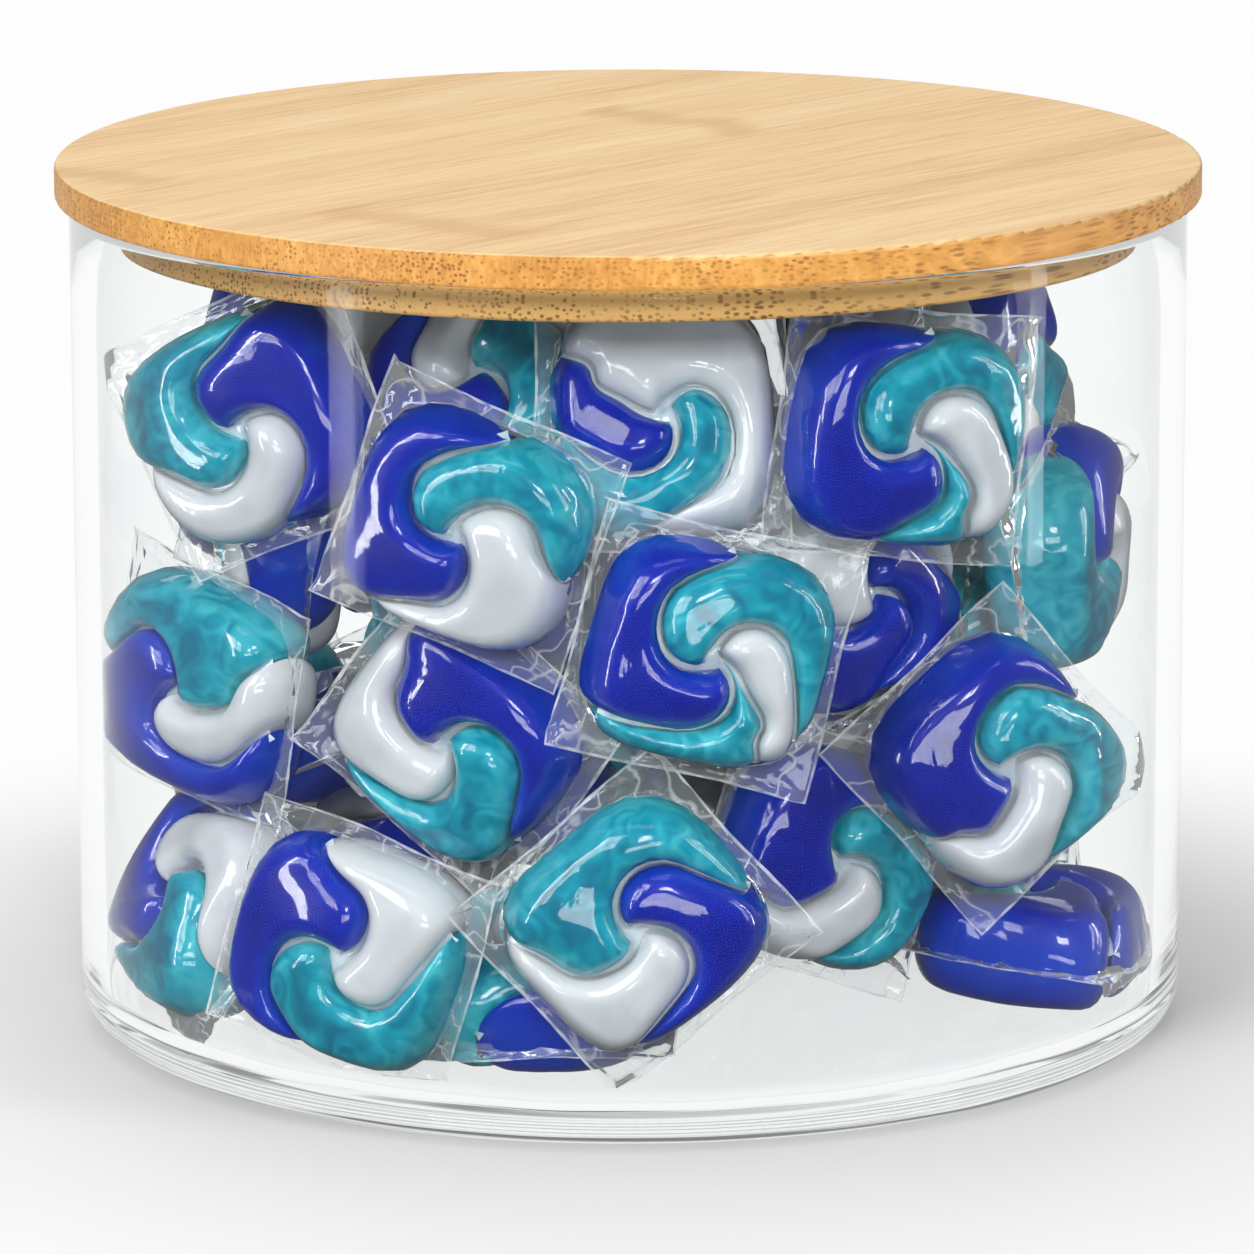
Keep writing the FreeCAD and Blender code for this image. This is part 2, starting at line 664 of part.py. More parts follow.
def make_pods():
    """The heap, each pod a copy of the one form in its own place."""
    seated = []
    for lap in DEEPEST:
        for lie in LAY:
            pod = lay_at_wall(lie, lap, seated)
            if pod:
                seated.append(pod)
    copies = []
    for number, pod in enumerate(fill_heap(seated), start=1):
        copy = DOC.addObject("Part::Feature", f"pod_{number:02d}")
        copy.Label = f"pod_{number:02d}"
        copy.Shape = POD_FORM.Shape
        copy.Placement = FreeCAD.Placement(pod.centre, pod.rotation)
        copies.append(copy)
    return copies


# ---- checks and files ------------------------------------------------------------------------

def check_and_write(parts):
    """Write each sub-part to its own file, once no feature has failed and each is one sound solid."""
    DOC.recompute()
    for item in DOC.Objects:
        if "Invalid" in item.State or "Error" in item.State:
            raise RuntimeError(f"{item.Label} failed: {item.State}")
    for part in parts:
        if part.Shape.isNull() or not part.Shape.isValid() or len(part.Shape.Solids) != 1:
            raise RuntimeError(f"{part.Label} isn't one sound solid")
    os.makedirs("parts", exist_ok=True)
    for part in parts:
        part.Shape.exportStep(f"parts/{part.Label}.step")


sub_parts = [make_jar(), make_lid()] + make_pods()
check_and_write(sub_parts)
print(len(sub_parts), "sub-parts written")
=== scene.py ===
# %% [markdown]
# # A glass jar of wash pods
# The object is a wide, straight glass jar under a flat bamboo lid, filled with wash pods. Each pod is a swirl
# of gels sealed in clear film. What moves or collides comes ready packed, so the file begins by loading it.
# Blender then adds what the eye needs: clear glass, bamboo grain, glossy gels and crumpled film.

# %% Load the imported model
import json
import math
import random

import bpy
import numpy as np
from mathutils import Matrix, Vector

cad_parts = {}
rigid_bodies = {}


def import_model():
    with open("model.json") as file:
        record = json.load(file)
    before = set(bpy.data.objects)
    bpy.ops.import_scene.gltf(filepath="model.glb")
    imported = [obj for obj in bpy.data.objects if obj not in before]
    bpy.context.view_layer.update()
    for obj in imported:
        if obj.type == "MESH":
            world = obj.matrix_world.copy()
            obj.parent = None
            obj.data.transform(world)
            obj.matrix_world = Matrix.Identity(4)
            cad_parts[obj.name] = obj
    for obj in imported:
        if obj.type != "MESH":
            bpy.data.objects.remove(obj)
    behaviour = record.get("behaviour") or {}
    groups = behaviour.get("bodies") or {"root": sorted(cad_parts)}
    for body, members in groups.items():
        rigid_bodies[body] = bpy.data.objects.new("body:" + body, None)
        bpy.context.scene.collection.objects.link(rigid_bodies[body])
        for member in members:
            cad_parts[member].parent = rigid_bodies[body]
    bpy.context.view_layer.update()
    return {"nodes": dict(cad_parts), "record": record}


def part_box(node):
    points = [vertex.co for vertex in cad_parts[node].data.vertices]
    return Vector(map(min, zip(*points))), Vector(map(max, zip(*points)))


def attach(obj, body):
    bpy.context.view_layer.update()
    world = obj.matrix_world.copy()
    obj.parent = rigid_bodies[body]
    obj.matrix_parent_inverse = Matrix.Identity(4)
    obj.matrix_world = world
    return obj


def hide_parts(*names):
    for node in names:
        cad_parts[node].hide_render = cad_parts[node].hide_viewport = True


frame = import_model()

MM = 0.001
nodes = frame["nodes"]
bodies = frame["record"]["behaviour"]["bodies"]
print("nodes on each body:", {body: len(names) for body, names in bodies.items()})

# %% [markdown]
# ## Camera
# The jar is seen from a little above, through a long lens, so its sides stay almost parallel and the lid
# is a flat ellipse. A long lens needs a far camera: the distance and the lens belong together. The lens is
# shifted and rolled by a hair, as the jar's axis stands neither quite upright nor quite in the middle.

# %% Place the camera
CAMERA_BACK = 1.47875
CAMERA_HEIGHT = 0.40023
CAMERA_DIP = 12.586
CAMERA_ROLL = -0.139
LENS = 240.2
LENS_SHIFT = -0.00176
lens = bpy.data.cameras.new("camera")
lens.sensor_width = 36
lens.lens = LENS
lens.shift_x = LENS_SHIFT
camera = bpy.data.objects.new("camera", lens)
bpy.context.scene.collection.objects.link(camera)
dip = Matrix.Rotation(math.radians(90 - CAMERA_DIP), 4, "X")
look = dip @ Matrix.Rotation(math.radians(CAMERA_ROLL), 4, "Z")
camera.matrix_world = Matrix.Translation((0, -CAMERA_BACK, CAMERA_HEIGHT)) @ look
bpy.context.scene.camera = camera
bpy.context.scene.view_settings.view_transform = "Standard"
print("lens", LENS, "mm from", CAMERA_BACK, "m")

# %% [markdown]
# ## A short way to write materials
# A finish is a tree of nodes. One helper adds a node, sets its plain values and links the sockets it is
# given, so that each finish below reads like a recipe.

# %% Helpers for node trees
def new_finish(name):
    """An empty material and its output node."""
    finish = bpy.data.materials.new(name)
    finish.use_nodes = True
    finish.node_tree.nodes.clear()
    return finish, finish.node_tree.nodes.new("ShaderNodeOutputMaterial")


def add(tree, kind, inputs=None, **settings):
    """Add a node; an input may be a value or the output socket that feeds it."""
    node = tree.nodes.new("ShaderNode" + kind)
    for key, value in settings.items():
        setattr(node, key, value)
    for key, value in (inputs or {}).items():
        if isinstance(value, bpy.types.NodeSocket):
            tree.links.new(value, node.inputs[key])
        else:
            node.inputs[key].default_value = value
    return node


def add_ramp(tree, factor, stops):
    """Colour ramp through (position, colour) stops."""
    ramp = add(tree, "ValToRGB", {"Fac": factor})
    while len(ramp.color_ramp.elements) < len(stops):
        ramp.color_ramp.elements.new(0.5)
    for element, (position, colour) in zip(ramp.color_ramp.elements, stops):
        element.position = position
        element.color = (*colour, 1)
    return ramp.outputs["Color"]


def add_math(tree, operation, first, second=0.0, third=0.0, clamp=False):
    """Arithmetic on sockets or numbers."""
    node = add(tree, "Math", {0: first, 1: second, 2: third}, operation=operation)
    node.use_clamp = clamp
    return node.outputs[0]


def add_range(tree, value, low, high, to_low=0.0, to_high=1.0, kind="LINEAR"):
    """A value carried from one range to another and kept inside it."""
    return add(tree, "MapRange", {"Value": value, "From Min": low, "From Max": high, "To Min": to_low,
                                  "To Max": to_high}, interpolation_type=kind).outputs["Result"]


def add_noise(tree, where, scale, detail, **more):
    """Cloudy value about 0.5; the scale is in cells per metre."""
    more = {key.capitalize(): value for key, value in more.items()}
    return add(tree, "TexNoise", {"Vector": where, "Scale": scale, "Detail": detail, **more}).outputs["Fac"]


def mix_colours(tree, share, first, second):
    """The second colour over the first, by that share."""
    return add(tree, "Mix", {0: share, 6: first, 7: second}, data_type="RGBA").outputs[2]


def mix_shaders(tree, share, first, second):
    """The second shader over the first, by that share."""
    return add(tree, "MixShader", {0: share, 1: first, 2: second}).outputs[0]


print("helpers ready")

# %% [markdown]
# ## What a gel mirrors
# A dark blue gel is as good a mirror as a white one, and in a white room its gloss would lay a grey veil over
# the blue. In a studio black cloth is hung there. Here the floor and the sky turn dim for one kind of ray
# only: one that went in through the wall, was mirrored once by a gel and came out through the wall again.

# %% Mirrored rays
WALL_SIDES = 2
MIRROR_DIM = 0.85


def mirrored_ray(tree):
    """1 for a ray that a gel has mirrored out through the wall, else 0."""
    ray = add(tree, "LightPath").outputs
    off_one = add_math(tree, "ABSOLUTE", add_math(tree, "SUBTRACT", ray["Glossy Depth"], 1))
    once = add_math(tree, "LESS_THAN", off_one, 0.5)
    out_again = add_math(tree, "GREATER_THAN", ray["Transmission Depth"], WALL_SIDES + 0.5)
    mirrored = add_math(tree, "MULTIPLY", once, out_again)
    return add_math(tree, "MULTIPLY", mirrored, ray["Is Transmission Ray"])


print("mirrored rays see", round(1 - MIRROR_DIM, 2), "of the room")

# %% [markdown]
# ## Floor
# The jar stands on a white sweep that runs past every edge of the view. Near the jar it is plain white card
# that takes the jar's shadow. Further out it fades into an even white that only the camera, mirrors and glass
# see, which keeps the background clean without pouring more light on the object. Glass sees that even white
# close to the jar too, because the floor under a jar of glass isn't in shadow as it would be under a box.

# %% Floor sheet
FLOOR_HALF = 5.0
FLOOR_DROP = 0.2
floor_corners = [(x * FLOOR_HALF, y * FLOOR_HALF, 0) for x, y in ((-1, -1), (1, -1), (1, 1), (-1, 1))]
floor_mesh = bpy.data.meshes.new("floor")
floor_mesh.from_pydata(floor_corners, [], [(0, 1, 2, 3)])
floor = bpy.data.objects.new("floor", floor_mesh)
floor.location.z = -FLOOR_DROP * MM
bpy.context.scene.collection.objects.link(floor)
print("floor", 2 * FLOOR_HALF, "m wide")

# %% Floor finish
CARD_WHITE = 0.9
EVEN_WHITE = 0.985
FADE_FROM = 0.10
FADE_TO = 0.24
WHITE_THROUGH_GLASS = 0.92
card, card_out = new_finish("white_card")
tree = card.node_tree
place = add(tree, "TexCoord").outputs["Object"]
away = add(tree, "VectorMath", {0: place}, operation="LENGTH").outputs["Value"]
fade = add_range(tree, away, FADE_FROM, FADE_TO, kind="SMOOTHSTEP")
ray = add(tree, "LightPath").outputs
mirrored = mirrored_ray(tree)
seen = add_math(tree, "MAXIMUM", ray["Is Camera Ray"], ray["Is Glossy Ray"])
share = add_math(tree, "MULTIPLY", fade, seen)
through = add_math(tree, "MULTIPLY", ray["Is Transmission Ray"], WHITE_THROUGH_GLASS)
share = add_math(tree, "MAXIMUM", add_math(tree, "MAXIMUM", share, through), mirrored)
level = add_math(tree, "MULTIPLY_ADD", mirrored, -MIRROR_DIM, 1.0)
paper = add(tree, "BsdfDiffuse", {"Color": (CARD_WHITE, CARD_WHITE, CARD_WHITE, 1)}).outputs[0]
even = add(tree, "Emission", {"Color": (EVEN_WHITE, EVEN_WHITE, EVEN_WHITE, 1), "Strength": level}).outputs[0]
tree.links.new(mix_shaders(tree, share, paper, even), card_out.inputs["Surface"])
card.cycles.emission_sampling = "NONE"
floor_mesh.materials.append(card)
print("floor fades to white from", FADE_FROM, "to", FADE_TO, "m")

# %% [markdown]
# ## Light
# Soft studio light: a pale sky all round, brighter low behind the jar, and a four-paned window high on the
# left whose reflection shows on every glossy gel. Window panes are separate area lamps with bars of nothing
# between them, because a glossy surface mirrors the lamp's own shape. A front panel adds one small highlight,
# and panels on the right and behind give the far sides an edge.

# %% Sky
SKY_ROUND = 0.20
SKY_BEHIND = 0.75
SKY_THROUGH_GLASS = 0.9
world = bpy.data.worlds.new("studio")
bpy.context.scene.world = world
world.use_nodes = True
tree = world.node_tree
tree.nodes.clear()
way = add(tree, "TexCoord").outputs["Generated"]
parts = add(tree, "SeparateXYZ", {0: way}).outputs
behind = add_range(tree, parts["Y"], 0.1, 0.6)
low = add_range(tree, parts["Z"], 0.15, 0.5, 1.0, 0.0)
sky = add_math(tree, "MULTIPLY_ADD", add_math(tree, "MULTIPLY", behind, low), SKY_BEHIND, SKY_ROUND)
through = add_math(tree, "MULTIPLY", add(tree, "LightPath").outputs["Is Transmission Ray"], SKY_THROUGH_GLASS)
sky = add_math(tree, "MAXIMUM", sky, through)
level = add_math(tree, "MULTIPLY_ADD", mirrored_ray(tree), -MIRROR_DIM, 1.0)
sky = add_math(tree, "MULTIPLY", sky, level)
background = add(tree, "Background", {"Color": (0.97, 0.985, 1, 1), "Strength": sky}).outputs[0]
tree.links.new(background, add(tree, "OutputWorld").inputs["Surface"])
print("sky from", SKY_ROUND, "to", SKY_ROUND + SKY_BEHIND)

# %% [markdown]
# A lamp can be for light alone, when its reflection would only be in the way, or for gloss alone. Two fills
# brighten the gels without being mirrored. Two upright strips light nothing and draw the long pale lines that
# show how round the glass is.

# %% Lamps
def add_lamp(name, where, aim, width, height, power, mirrored=True, lights=True):
    """Rectangular area lamp that faces a point and is not seen by the camera."""
    light = bpy.data.lights.new(name, "AREA")
    light.shape = "RECTANGLE"
    light.size = width
    light.size_y = height
    light.energy = power
    lamp = bpy.data.objects.new(name, light)
    bpy.context.scene.collection.objects.link(lamp)
    lamp.location = where
    lamp.rotation_euler = (Vector(aim) - Vector(where)).to_track_quat("-Z", "Y").to_euler()
    lamp.visible_camera = False
    lamp.visible_glossy = mirrored
    lamp.visible_diffuse = lights


MIDDLE = Vector((0, 0, 0.08))
BESIDE = Vector((0, 0, 0.25))
WINDOW_AT = Vector((-1.15, -1.35, 1.15))
PANE = 0.55
PANE_PITCH = 0.61
PANE_POWER = 6.5
window_turn = (MIDDLE - WINDOW_AT).to_track_quat("-Z", "Y")
for row in (-0.5, 0.5):
    for column in (-0.5, 0.5):
        shift = window_turn @ Vector((column * PANE_PITCH, row * PANE_PITCH, 0))
        add_lamp(f"pane_{row}_{column}", WINDOW_AT + shift, MIDDLE + shift, PANE, PANE, PANE_POWER)
add_lamp("front_panel", (0.35, -2.3, 1.15), MIDDLE, 0.5, 0.5, 22)
add_lamp("low_fill", (0.2, -2.4, 0.28), MIDDLE, 1.4, 0.5, 16, mirrored=False)
add_lamp("top_fill", (0.0, -0.4, 2.4), MIDDLE, 1.2, 1.2, 8, mirrored=False)
add_lamp("right_panel", (1.6, -0.5, 0.8), MIDDLE, 0.35, 1.2, 7)
add_lamp("back_panel", (-0.2, 1.6, 1.5), MIDDLE, 1.6, 0.8, 8)
add_lamp("left_strip", (-0.42, -0.30, 0.25), BESIDE, 0.05, 0.5, 1.6, lights=False)
add_lamp("right_strip", (0.52, -0.06, 0.25), BESIDE, 0.04, 0.5, 1.2, lights=False)

# %% [markdown]
# ## Glass
# The jar is drawn and pressed glass: an even wall on a thick floor, fire-rounded at the rim. Glass bends what
# is behind it, so flat facets would show as stripes, and the jar is turned again here from the same sizes
# with many more steps.

# %% Turned forms
def arc(centre, radius, first, last, steps):
    """Points on an arc in the section plane, angles in degrees."""
    angles = np.radians(np.linspace(first, last, steps + 1))
    return [(centre[0] + radius * math.cos(a), centre[1] + radius * math.sin(a)) for a in angles]


def grid_faces(rows, columns, wrap=False, offset=0, flip=False):
    """Quads over a grid of points kept row by row."""
    faces = []
    last = columns if wrap else columns - 1
    for row in range(rows - 1):
        for column in range(last):
            after = (column + 1) % columns
            face = (row * columns + column, row * columns + after,
                    (row + 1) * columns + after, (row + 1) * columns + column)
            face = tuple(offset + corner for corner in face)
            faces.append(face[::-1] if flip else face)
    return faces


def new_piece(name, points, faces, finishes, face_finish=None):
    """Mesh object from points in metres, with its finishes."""
    mesh = bpy.data.meshes.new(name)
    mesh.from_pydata([tuple(map(float, p)) for p in points], [], faces)
    for finish in finishes:
        mesh.materials.append(finish)
    if face_finish is not None:
        mesh.polygons.foreach_set("material_index", face_finish)
    mesh.polygons.foreach_set("use_smooth", [True] * len(mesh.polygons))
    mesh.update()
    piece = bpy.data.objects.new(name, mesh)
    bpy.context.scene.collection.objects.link(piece)
    return piece


jar_low, jar_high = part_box("jar")
JAR_RADIUS = (jar_high.x - jar_low.x) / 2 / MM
JAR_HEIGHT = jar_high.z / MM
WALL = 4.5
FLOOR_THICK = 6.0
PUNT_RISE = 1.2
FOOT_WIDTH = 14.0
HEEL_ROUND = 7.0
INNER_ROUND = 5.0
RIM_ROUND = 1.9
INNER_RADIUS = JAR_RADIUS - WALL
HAIR = 0.01
print("jar", 2 * JAR_RADIUS, "mm wide,", JAR_HEIGHT, "mm tall")


# %% Turn the jar
def spread(first, last, steps):
    """Points on a straight run between two points of the section, both ends counted."""
    return [tuple(p) for p in np.linspace(first, last, steps + 1)]


def jar_section():
    """Closed half section, from the middle of the underside round to the middle of the inner floor."""
    foot = JAR_RADIUS - FOOT_WIDTH
    punt = [(r, PUNT_RISE * (1 - (r / foot) ** 2)) for r in np.linspace(HAIR, foot, 14)]
    heel = arc((JAR_RADIUS - HEEL_ROUND, HEEL_ROUND), HEEL_ROUND, -90, 0, 14)
    outside = spread((JAR_RADIUS, HEEL_ROUND), (JAR_RADIUS, JAR_HEIGHT - RIM_ROUND), 10)[1:-1]
    rim = arc((JAR_RADIUS - RIM_ROUND, JAR_HEIGHT - RIM_ROUND), RIM_ROUND, 0, 90, 8)
    rim += arc((INNER_RADIUS + RIM_ROUND, JAR_HEIGHT - RIM_ROUND), RIM_ROUND, 90, 180, 8)
    inner_low = FLOOR_THICK + INNER_ROUND
    inside = spread((INNER_RADIUS, JAR_HEIGHT - RIM_ROUND), (INNER_RADIUS, inner_low), 24)[1:-1]
    corner = arc((INNER_RADIUS - INNER_ROUND, inner_low), INNER_ROUND, 0, -90, 10)
    basin = spread((INNER_RADIUS - INNER_ROUND, FLOOR_THICK), (HAIR, FLOOR_THICK), 12)[1:]
    return punt + heel + outside + rim + inside + corner + basin


JAR_STEPS = 256
section = np.array(jar_section())
turn = np.radians(np.arange(JAR_STEPS) * 360 / JAR_STEPS)
reach = section[:, 0][:, None] * np.ones(JAR_STEPS)
level = section[:, 1][:, None] * np.ones(JAR_STEPS)
print("jar section has", len(section), "points")

# %% [markdown]
# The inside of a pressed base is never quite even: the plunger leaves slow waves in it. They bend the light
# into the fine bright and dark lines of the base. Here the low part of the wall leans in by less than half a
# millimetre and the floor sinks by a little more near its corner, each in its own waves round the jar.

# %% Uneven base
LOW_WALL_TO = 40.0
LOW_FLOOR_TO = 12.0
WALL_FROM, FLOOR_FROM = 60.0, 40.0
WALL_WAVE, FLOOR_WAVE = 0.22, 0.3
within = (reach < INNER_RADIUS + HAIR) & (level > FLOOR_THICK - 0.5) & (level < LOW_WALL_TO)
low_down = np.clip((LOW_WALL_TO - level) / (LOW_WALL_TO - FLOOR_THICK), 0, 1) ** 2
ripple = (np.sin(5 * turn + 0.4) + 0.7 * np.sin(11 * turn + 1.9) + 0.5 * np.sin(23 * turn + 0.2)) / 2.2
reach = np.where(within & (reach > WALL_FROM), reach - WALL_WAVE * low_down * (1 + ripple), reach)
sunk = level - FLOOR_WAVE * (1 + ripple[::-1]) * (reach / 96) ** 3
level = np.where(within & (reach > FLOOR_FROM) & (level < LOW_FLOOR_TO), sunk, level)
jar_points = np.stack([reach * np.cos(turn), reach * np.sin(turn), level], axis=-1).reshape(-1, 3) * MM
jar_faces = grid_faces(len(section), JAR_STEPS, wrap=True)
last_ring = (len(section) - 1) * JAR_STEPS
jar_faces.append(tuple(range(JAR_STEPS))[::-1])
jar_faces.append(tuple(range(last_ring, last_ring + JAR_STEPS)))
print("waves of", 2 * WALL_WAVE, "mm in the wall and", 2 * FLOOR_WAVE, "mm in the floor")

# %% [markdown]
# Clear glass lets light bend through it and mirrors a little of it, more where it is seen aslant. The two are
# mixed by hand, because the mirroring head on is kept lower than in nature, so the pods stay deep in colour.
# Light caught inside the glass bounces on until the renderer gives up and paints it black. A real base looks
# pale there, so after a few turns the glass stops following such light and glows instead: a painted pale
# glow, in fine layers down in the base and even up the walls. For lamps the glass counts as clear, so that
# light reaches the pods without noisy caustics.

# %% Glass finish
GLASS_IOR = 1.48
HEAD_ON_POWER = 1.6
MOST_MIRRORS, MOST_CROSSINGS = 3, 6
LAYERS_TO, WALLS_FROM = 0.012, 0.022
WALL_GLOW = 0.65
clear_glass, glass_out = new_finish("clear_glass")
tree = clear_glass.node_tree
glass_place = add(tree, "TexCoord").outputs["Object"]
melt = add_noise(tree, glass_place, 9, 0)
melt_bump = add(tree, "Bump", {"Height": melt, "Strength": 0.08, "Distance": 0.001}).outputs["Normal"]
bend = add(tree, "BsdfRefraction", {"Color": (0.99, 0.997, 0.995, 1), "Roughness": 0.0,
                                    "IOR": GLASS_IOR}).outputs[0]
shine = add(tree, "BsdfGlossy", {"Color": (1, 1, 1, 1), "Roughness": 0.012, "Normal": melt_bump}).outputs[0]
slant = add_math(tree, "POWER", add(tree, "Fresnel", {"IOR": GLASS_IOR}).outputs[0], HEAD_ON_POWER)
body = mix_shaders(tree, slant, bend, shine)
ray = add(tree, "LightPath").outputs
mirrors = add_math(tree, "GREATER_THAN", ray["Glossy Depth"], MOST_MIRRORS + 0.5)
crossings = add_math(tree, "GREATER_THAN", ray["Transmission Depth"], MOST_CROSSINGS + 0.5)
trapped = add_math(tree, "MAXIMUM", mirrors, crossings)
# Painted glow: the trapped light is replaced by a pale emission in fine layers low down, even up the walls.
layered = add(tree, "Mapping", {"Vector": glass_place, "Scale": (14, 14, 850)}).outputs["Vector"]
layers = add_range(tree, add_noise(tree, layered, 1, 1, distortion=0.5), 0.40, 0.58, 0.22, 0.95)
walls = add_range(tree, add(tree, "SeparateXYZ", {0: glass_place}).outputs["Z"], LAYERS_TO, WALLS_FROM)
evened = add_math(tree, "MULTIPLY", walls, add_math(tree, "SUBTRACT", WALL_GLOW, layers))
painted_glow_level = add_math(tree, "ADD", layers, evened)
painted_glow = add(tree, "Emission", {"Color": (0.93, 0.95, 0.95, 1), "Strength": painted_glow_level}).outputs[0]
tree.links.new(mix_shaders(tree, trapped, body, painted_glow), glass_out.inputs["Surface"])
clear_glass.cycles.emission_sampling = "NONE"
print("glass bends light by", GLASS_IOR)

# %% Lay the glass
jar = new_piece("glass_jar", jar_points, jar_faces, [clear_glass])
jar.visible_shadow = False
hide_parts("jar")
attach(jar, "filled_jar")
print("jar faces", len(jar_faces))

# %% [markdown]
# ## Bamboo
# The lid is cut from a bamboo board. Bamboo is straight bundles of fibre, so one solid pattern serves every
# face: stretched along the grain it shows streaks on top, and cut across it shows dots on the edge. The
# pattern is built in the board's own directions: along the grain, across it and up.

# %% The grain's directions
GRAIN_TURN = 47
bamboo, bamboo_out = new_finish("bamboo_board")
tree = bamboo.node_tree
place = add(tree, "TexCoord").outputs["Object"]
laid = add(tree, "Mapping", {"Vector": place,
                             "Rotation": (0, 0, math.radians(-GRAIN_TURN))}).outputs["Vector"]
axes = add(tree, "SeparateXYZ", {0: laid}).outputs


def stretched(along, across, up):
    """The grain's own coordinates, scaled along, across and up through the board."""
    return add(tree, "Mapping", {"Vector": laid, "Scale": (along, across, up)}).outputs["Vector"]


def draw_for(width):
    """A random value for each strip of that width across the grain."""
    number = add_math(tree, "FLOOR", add_math(tree, "DIVIDE", axes["Y"], width))
    return add(tree, "TexWhiteNoise", {"W": number}, noise_dimensions="1D").outputs["Value"]


print("grain turned by", GRAIN_TURN, "degrees")

# %% [markdown]
# Sawn along the grain, the fibres are fine streaks over broader ones. The board is glued up from strips, and
# each strip has its own tone. A few darker bands cross them where the canes had their joints.

# %% Colour of the top
STRIP = 0.021
NODE_SPREAD, NODE_SWAY = 0.26, 0.025
FINE_SHARE = 0.62
STRIP_CONTRAST = 0.07
fine = add_noise(tree, stretched(40, 900, 400), 1, 3, roughness=0.65)
broad = add_noise(tree, stretched(4, 75, 60), 1, 3)
streaks = add_math(tree, "MULTIPLY_ADD", fine, FINE_SHARE, add_math(tree, "MULTIPLY", broad, 1 - FINE_SHARE))
tone = add_math(tree, "SUBTRACT", draw_for(STRIP), 0.5)
streaks = add_math(tree, "MULTIPLY_ADD", tone, STRIP_CONTRAST, streaks)
top_colour = add_ramp(tree, streaks, [(0.30, (0.70, 0.42, 0.175)), (0.42, (0.83, 0.53, 0.24)),
                                      (0.52, (0.90, 0.615, 0.30)), (0.66, (0.95, 0.71, 0.39))])
joint_at = add_math(tree, "MULTIPLY_ADD", draw_for(2 * STRIP), NODE_SPREAD, -NODE_SPREAD / 2)
sway = add_noise(tree, stretched(0, 60, 60), 1, 1)
joint_at = add_math(tree, "MULTIPLY_ADD", sway, NODE_SWAY, joint_at)
from_joint = add_math(tree, "ABSOLUTE", add_math(tree, "SUBTRACT", axes["X"], joint_at))
node_share = add_range(tree, from_joint, 0.001, 0.009, 0.5, 0.0, kind="SMOOTHSTEP")
top_colour = mix_colours(tree, node_share, top_colour, (0.66, 0.37, 0.14, 1))
print("strips", STRIP, "m wide")

# %% [markdown]
# Cut across, the same fibres are dark pores, crowded in some patches and sparse in others. The edge is a
# deeper honey than the sanded top. The plug that sits in the jar's mouth lies in the shade of the board's
# overhang, and its colour is painted paler than the board's edge to make up for that shade.

# %% Colour of the edge
BOARD_UNDER = JAR_HEIGHT * MM
PLUG_PAINTED_LIGHT = 0.85
pores = add(tree, "TexVoronoi", {"Vector": stretched(70, 1150, 1150), "Scale": 1, "Randomness": 0.7}).outputs
dots = add_range(tree, pores["Distance"], 0.26, 0.42, 1.0, 0.0)
patch = add_range(tree, add_noise(tree, stretched(20, 110, 110), 1, 2), 0.38, 0.62)
dots = add_math(tree, "MULTIPLY", dots, add_math(tree, "MULTIPLY_ADD", patch, 0.55, 0.4))
edge_colour = add_ramp(tree, streaks, [(0.3, (0.41, 0.175, 0.033)), (0.5, (0.56, 0.27, 0.062)),
                                       (0.68, (0.71, 0.37, 0.10))])
# Painted light: the plug lies in the board's shade, and this paler colour below the board makes up for it.
plug_painted_light = add_range(tree, axes["Z"], BOARD_UNDER - 0.0002, BOARD_UNDER + 0.0002, PLUG_PAINTED_LIGHT, 0.0)
edge_colour = mix_colours(tree, plug_painted_light, edge_colour, (1.0, 0.60, 0.21, 1))
edge_colour = mix_colours(tree, dots, edge_colour, (0.25, 0.10, 0.025, 1))
print("the plug begins", JAR_HEIGHT, "mm up")

# %% The board's finish
upright = add(tree, "SeparateXYZ", {0: add(tree, "NewGeometry").outputs["Normal"]}).outputs["Z"]
top_share = add_range(tree, upright, 0.55, 0.9)
board_colour = mix_colours(tree, top_share, edge_colour, top_colour)
grain_bump = add(tree, "Bump", {"Height": fine, "Strength": 0.12, "Distance": 0.0004}).outputs["Normal"]
board = add(tree, "BsdfPrincipled", {"Base Color": board_colour, "Roughness": 0.48, "Normal": grain_bump,
                                     "Specular IOR Level": 0.22}).outputs[0]
tree.links.new(board, bamboo_out.inputs["Surface"])
lid = nodes["lid"]
lid.data.materials.clear()
lid.data.materials.append(bamboo)

# %% [markdown]
# ## How each pod lies
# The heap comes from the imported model, and every pod in it is the same form turned some way. A pod's pose is
# read back from its solid: its balance point gives the place, and the directions in which it is longest and
# flattest give two axes. The taller side is the dome. One end is told from the other by the swirled seams,
# which give the solid's third moment, a measure of how it leans, a known heading.

# %% Read a pod's pose
SWIRL_LEAN = 2.09
RIM_BAND = 1.0


def solid_triangles(mesh):
    """Corners of a mesh's triangles, three arrays of points in millimetres."""
    mesh.calc_loop_triangles()
    corners = np.empty(len(mesh.loop_triangles) * 3, np.int32)
    mesh.loop_triangles.foreach_get("vertices", corners)
    points = np.empty(len(mesh.vertices) * 3, np.float32)
    mesh.vertices.foreach_get("co", points)
    points = points.reshape(-1, 3).astype(float) / MM
    return points, *points[corners].reshape(-1, 3, 3).transpose(1, 0, 2)


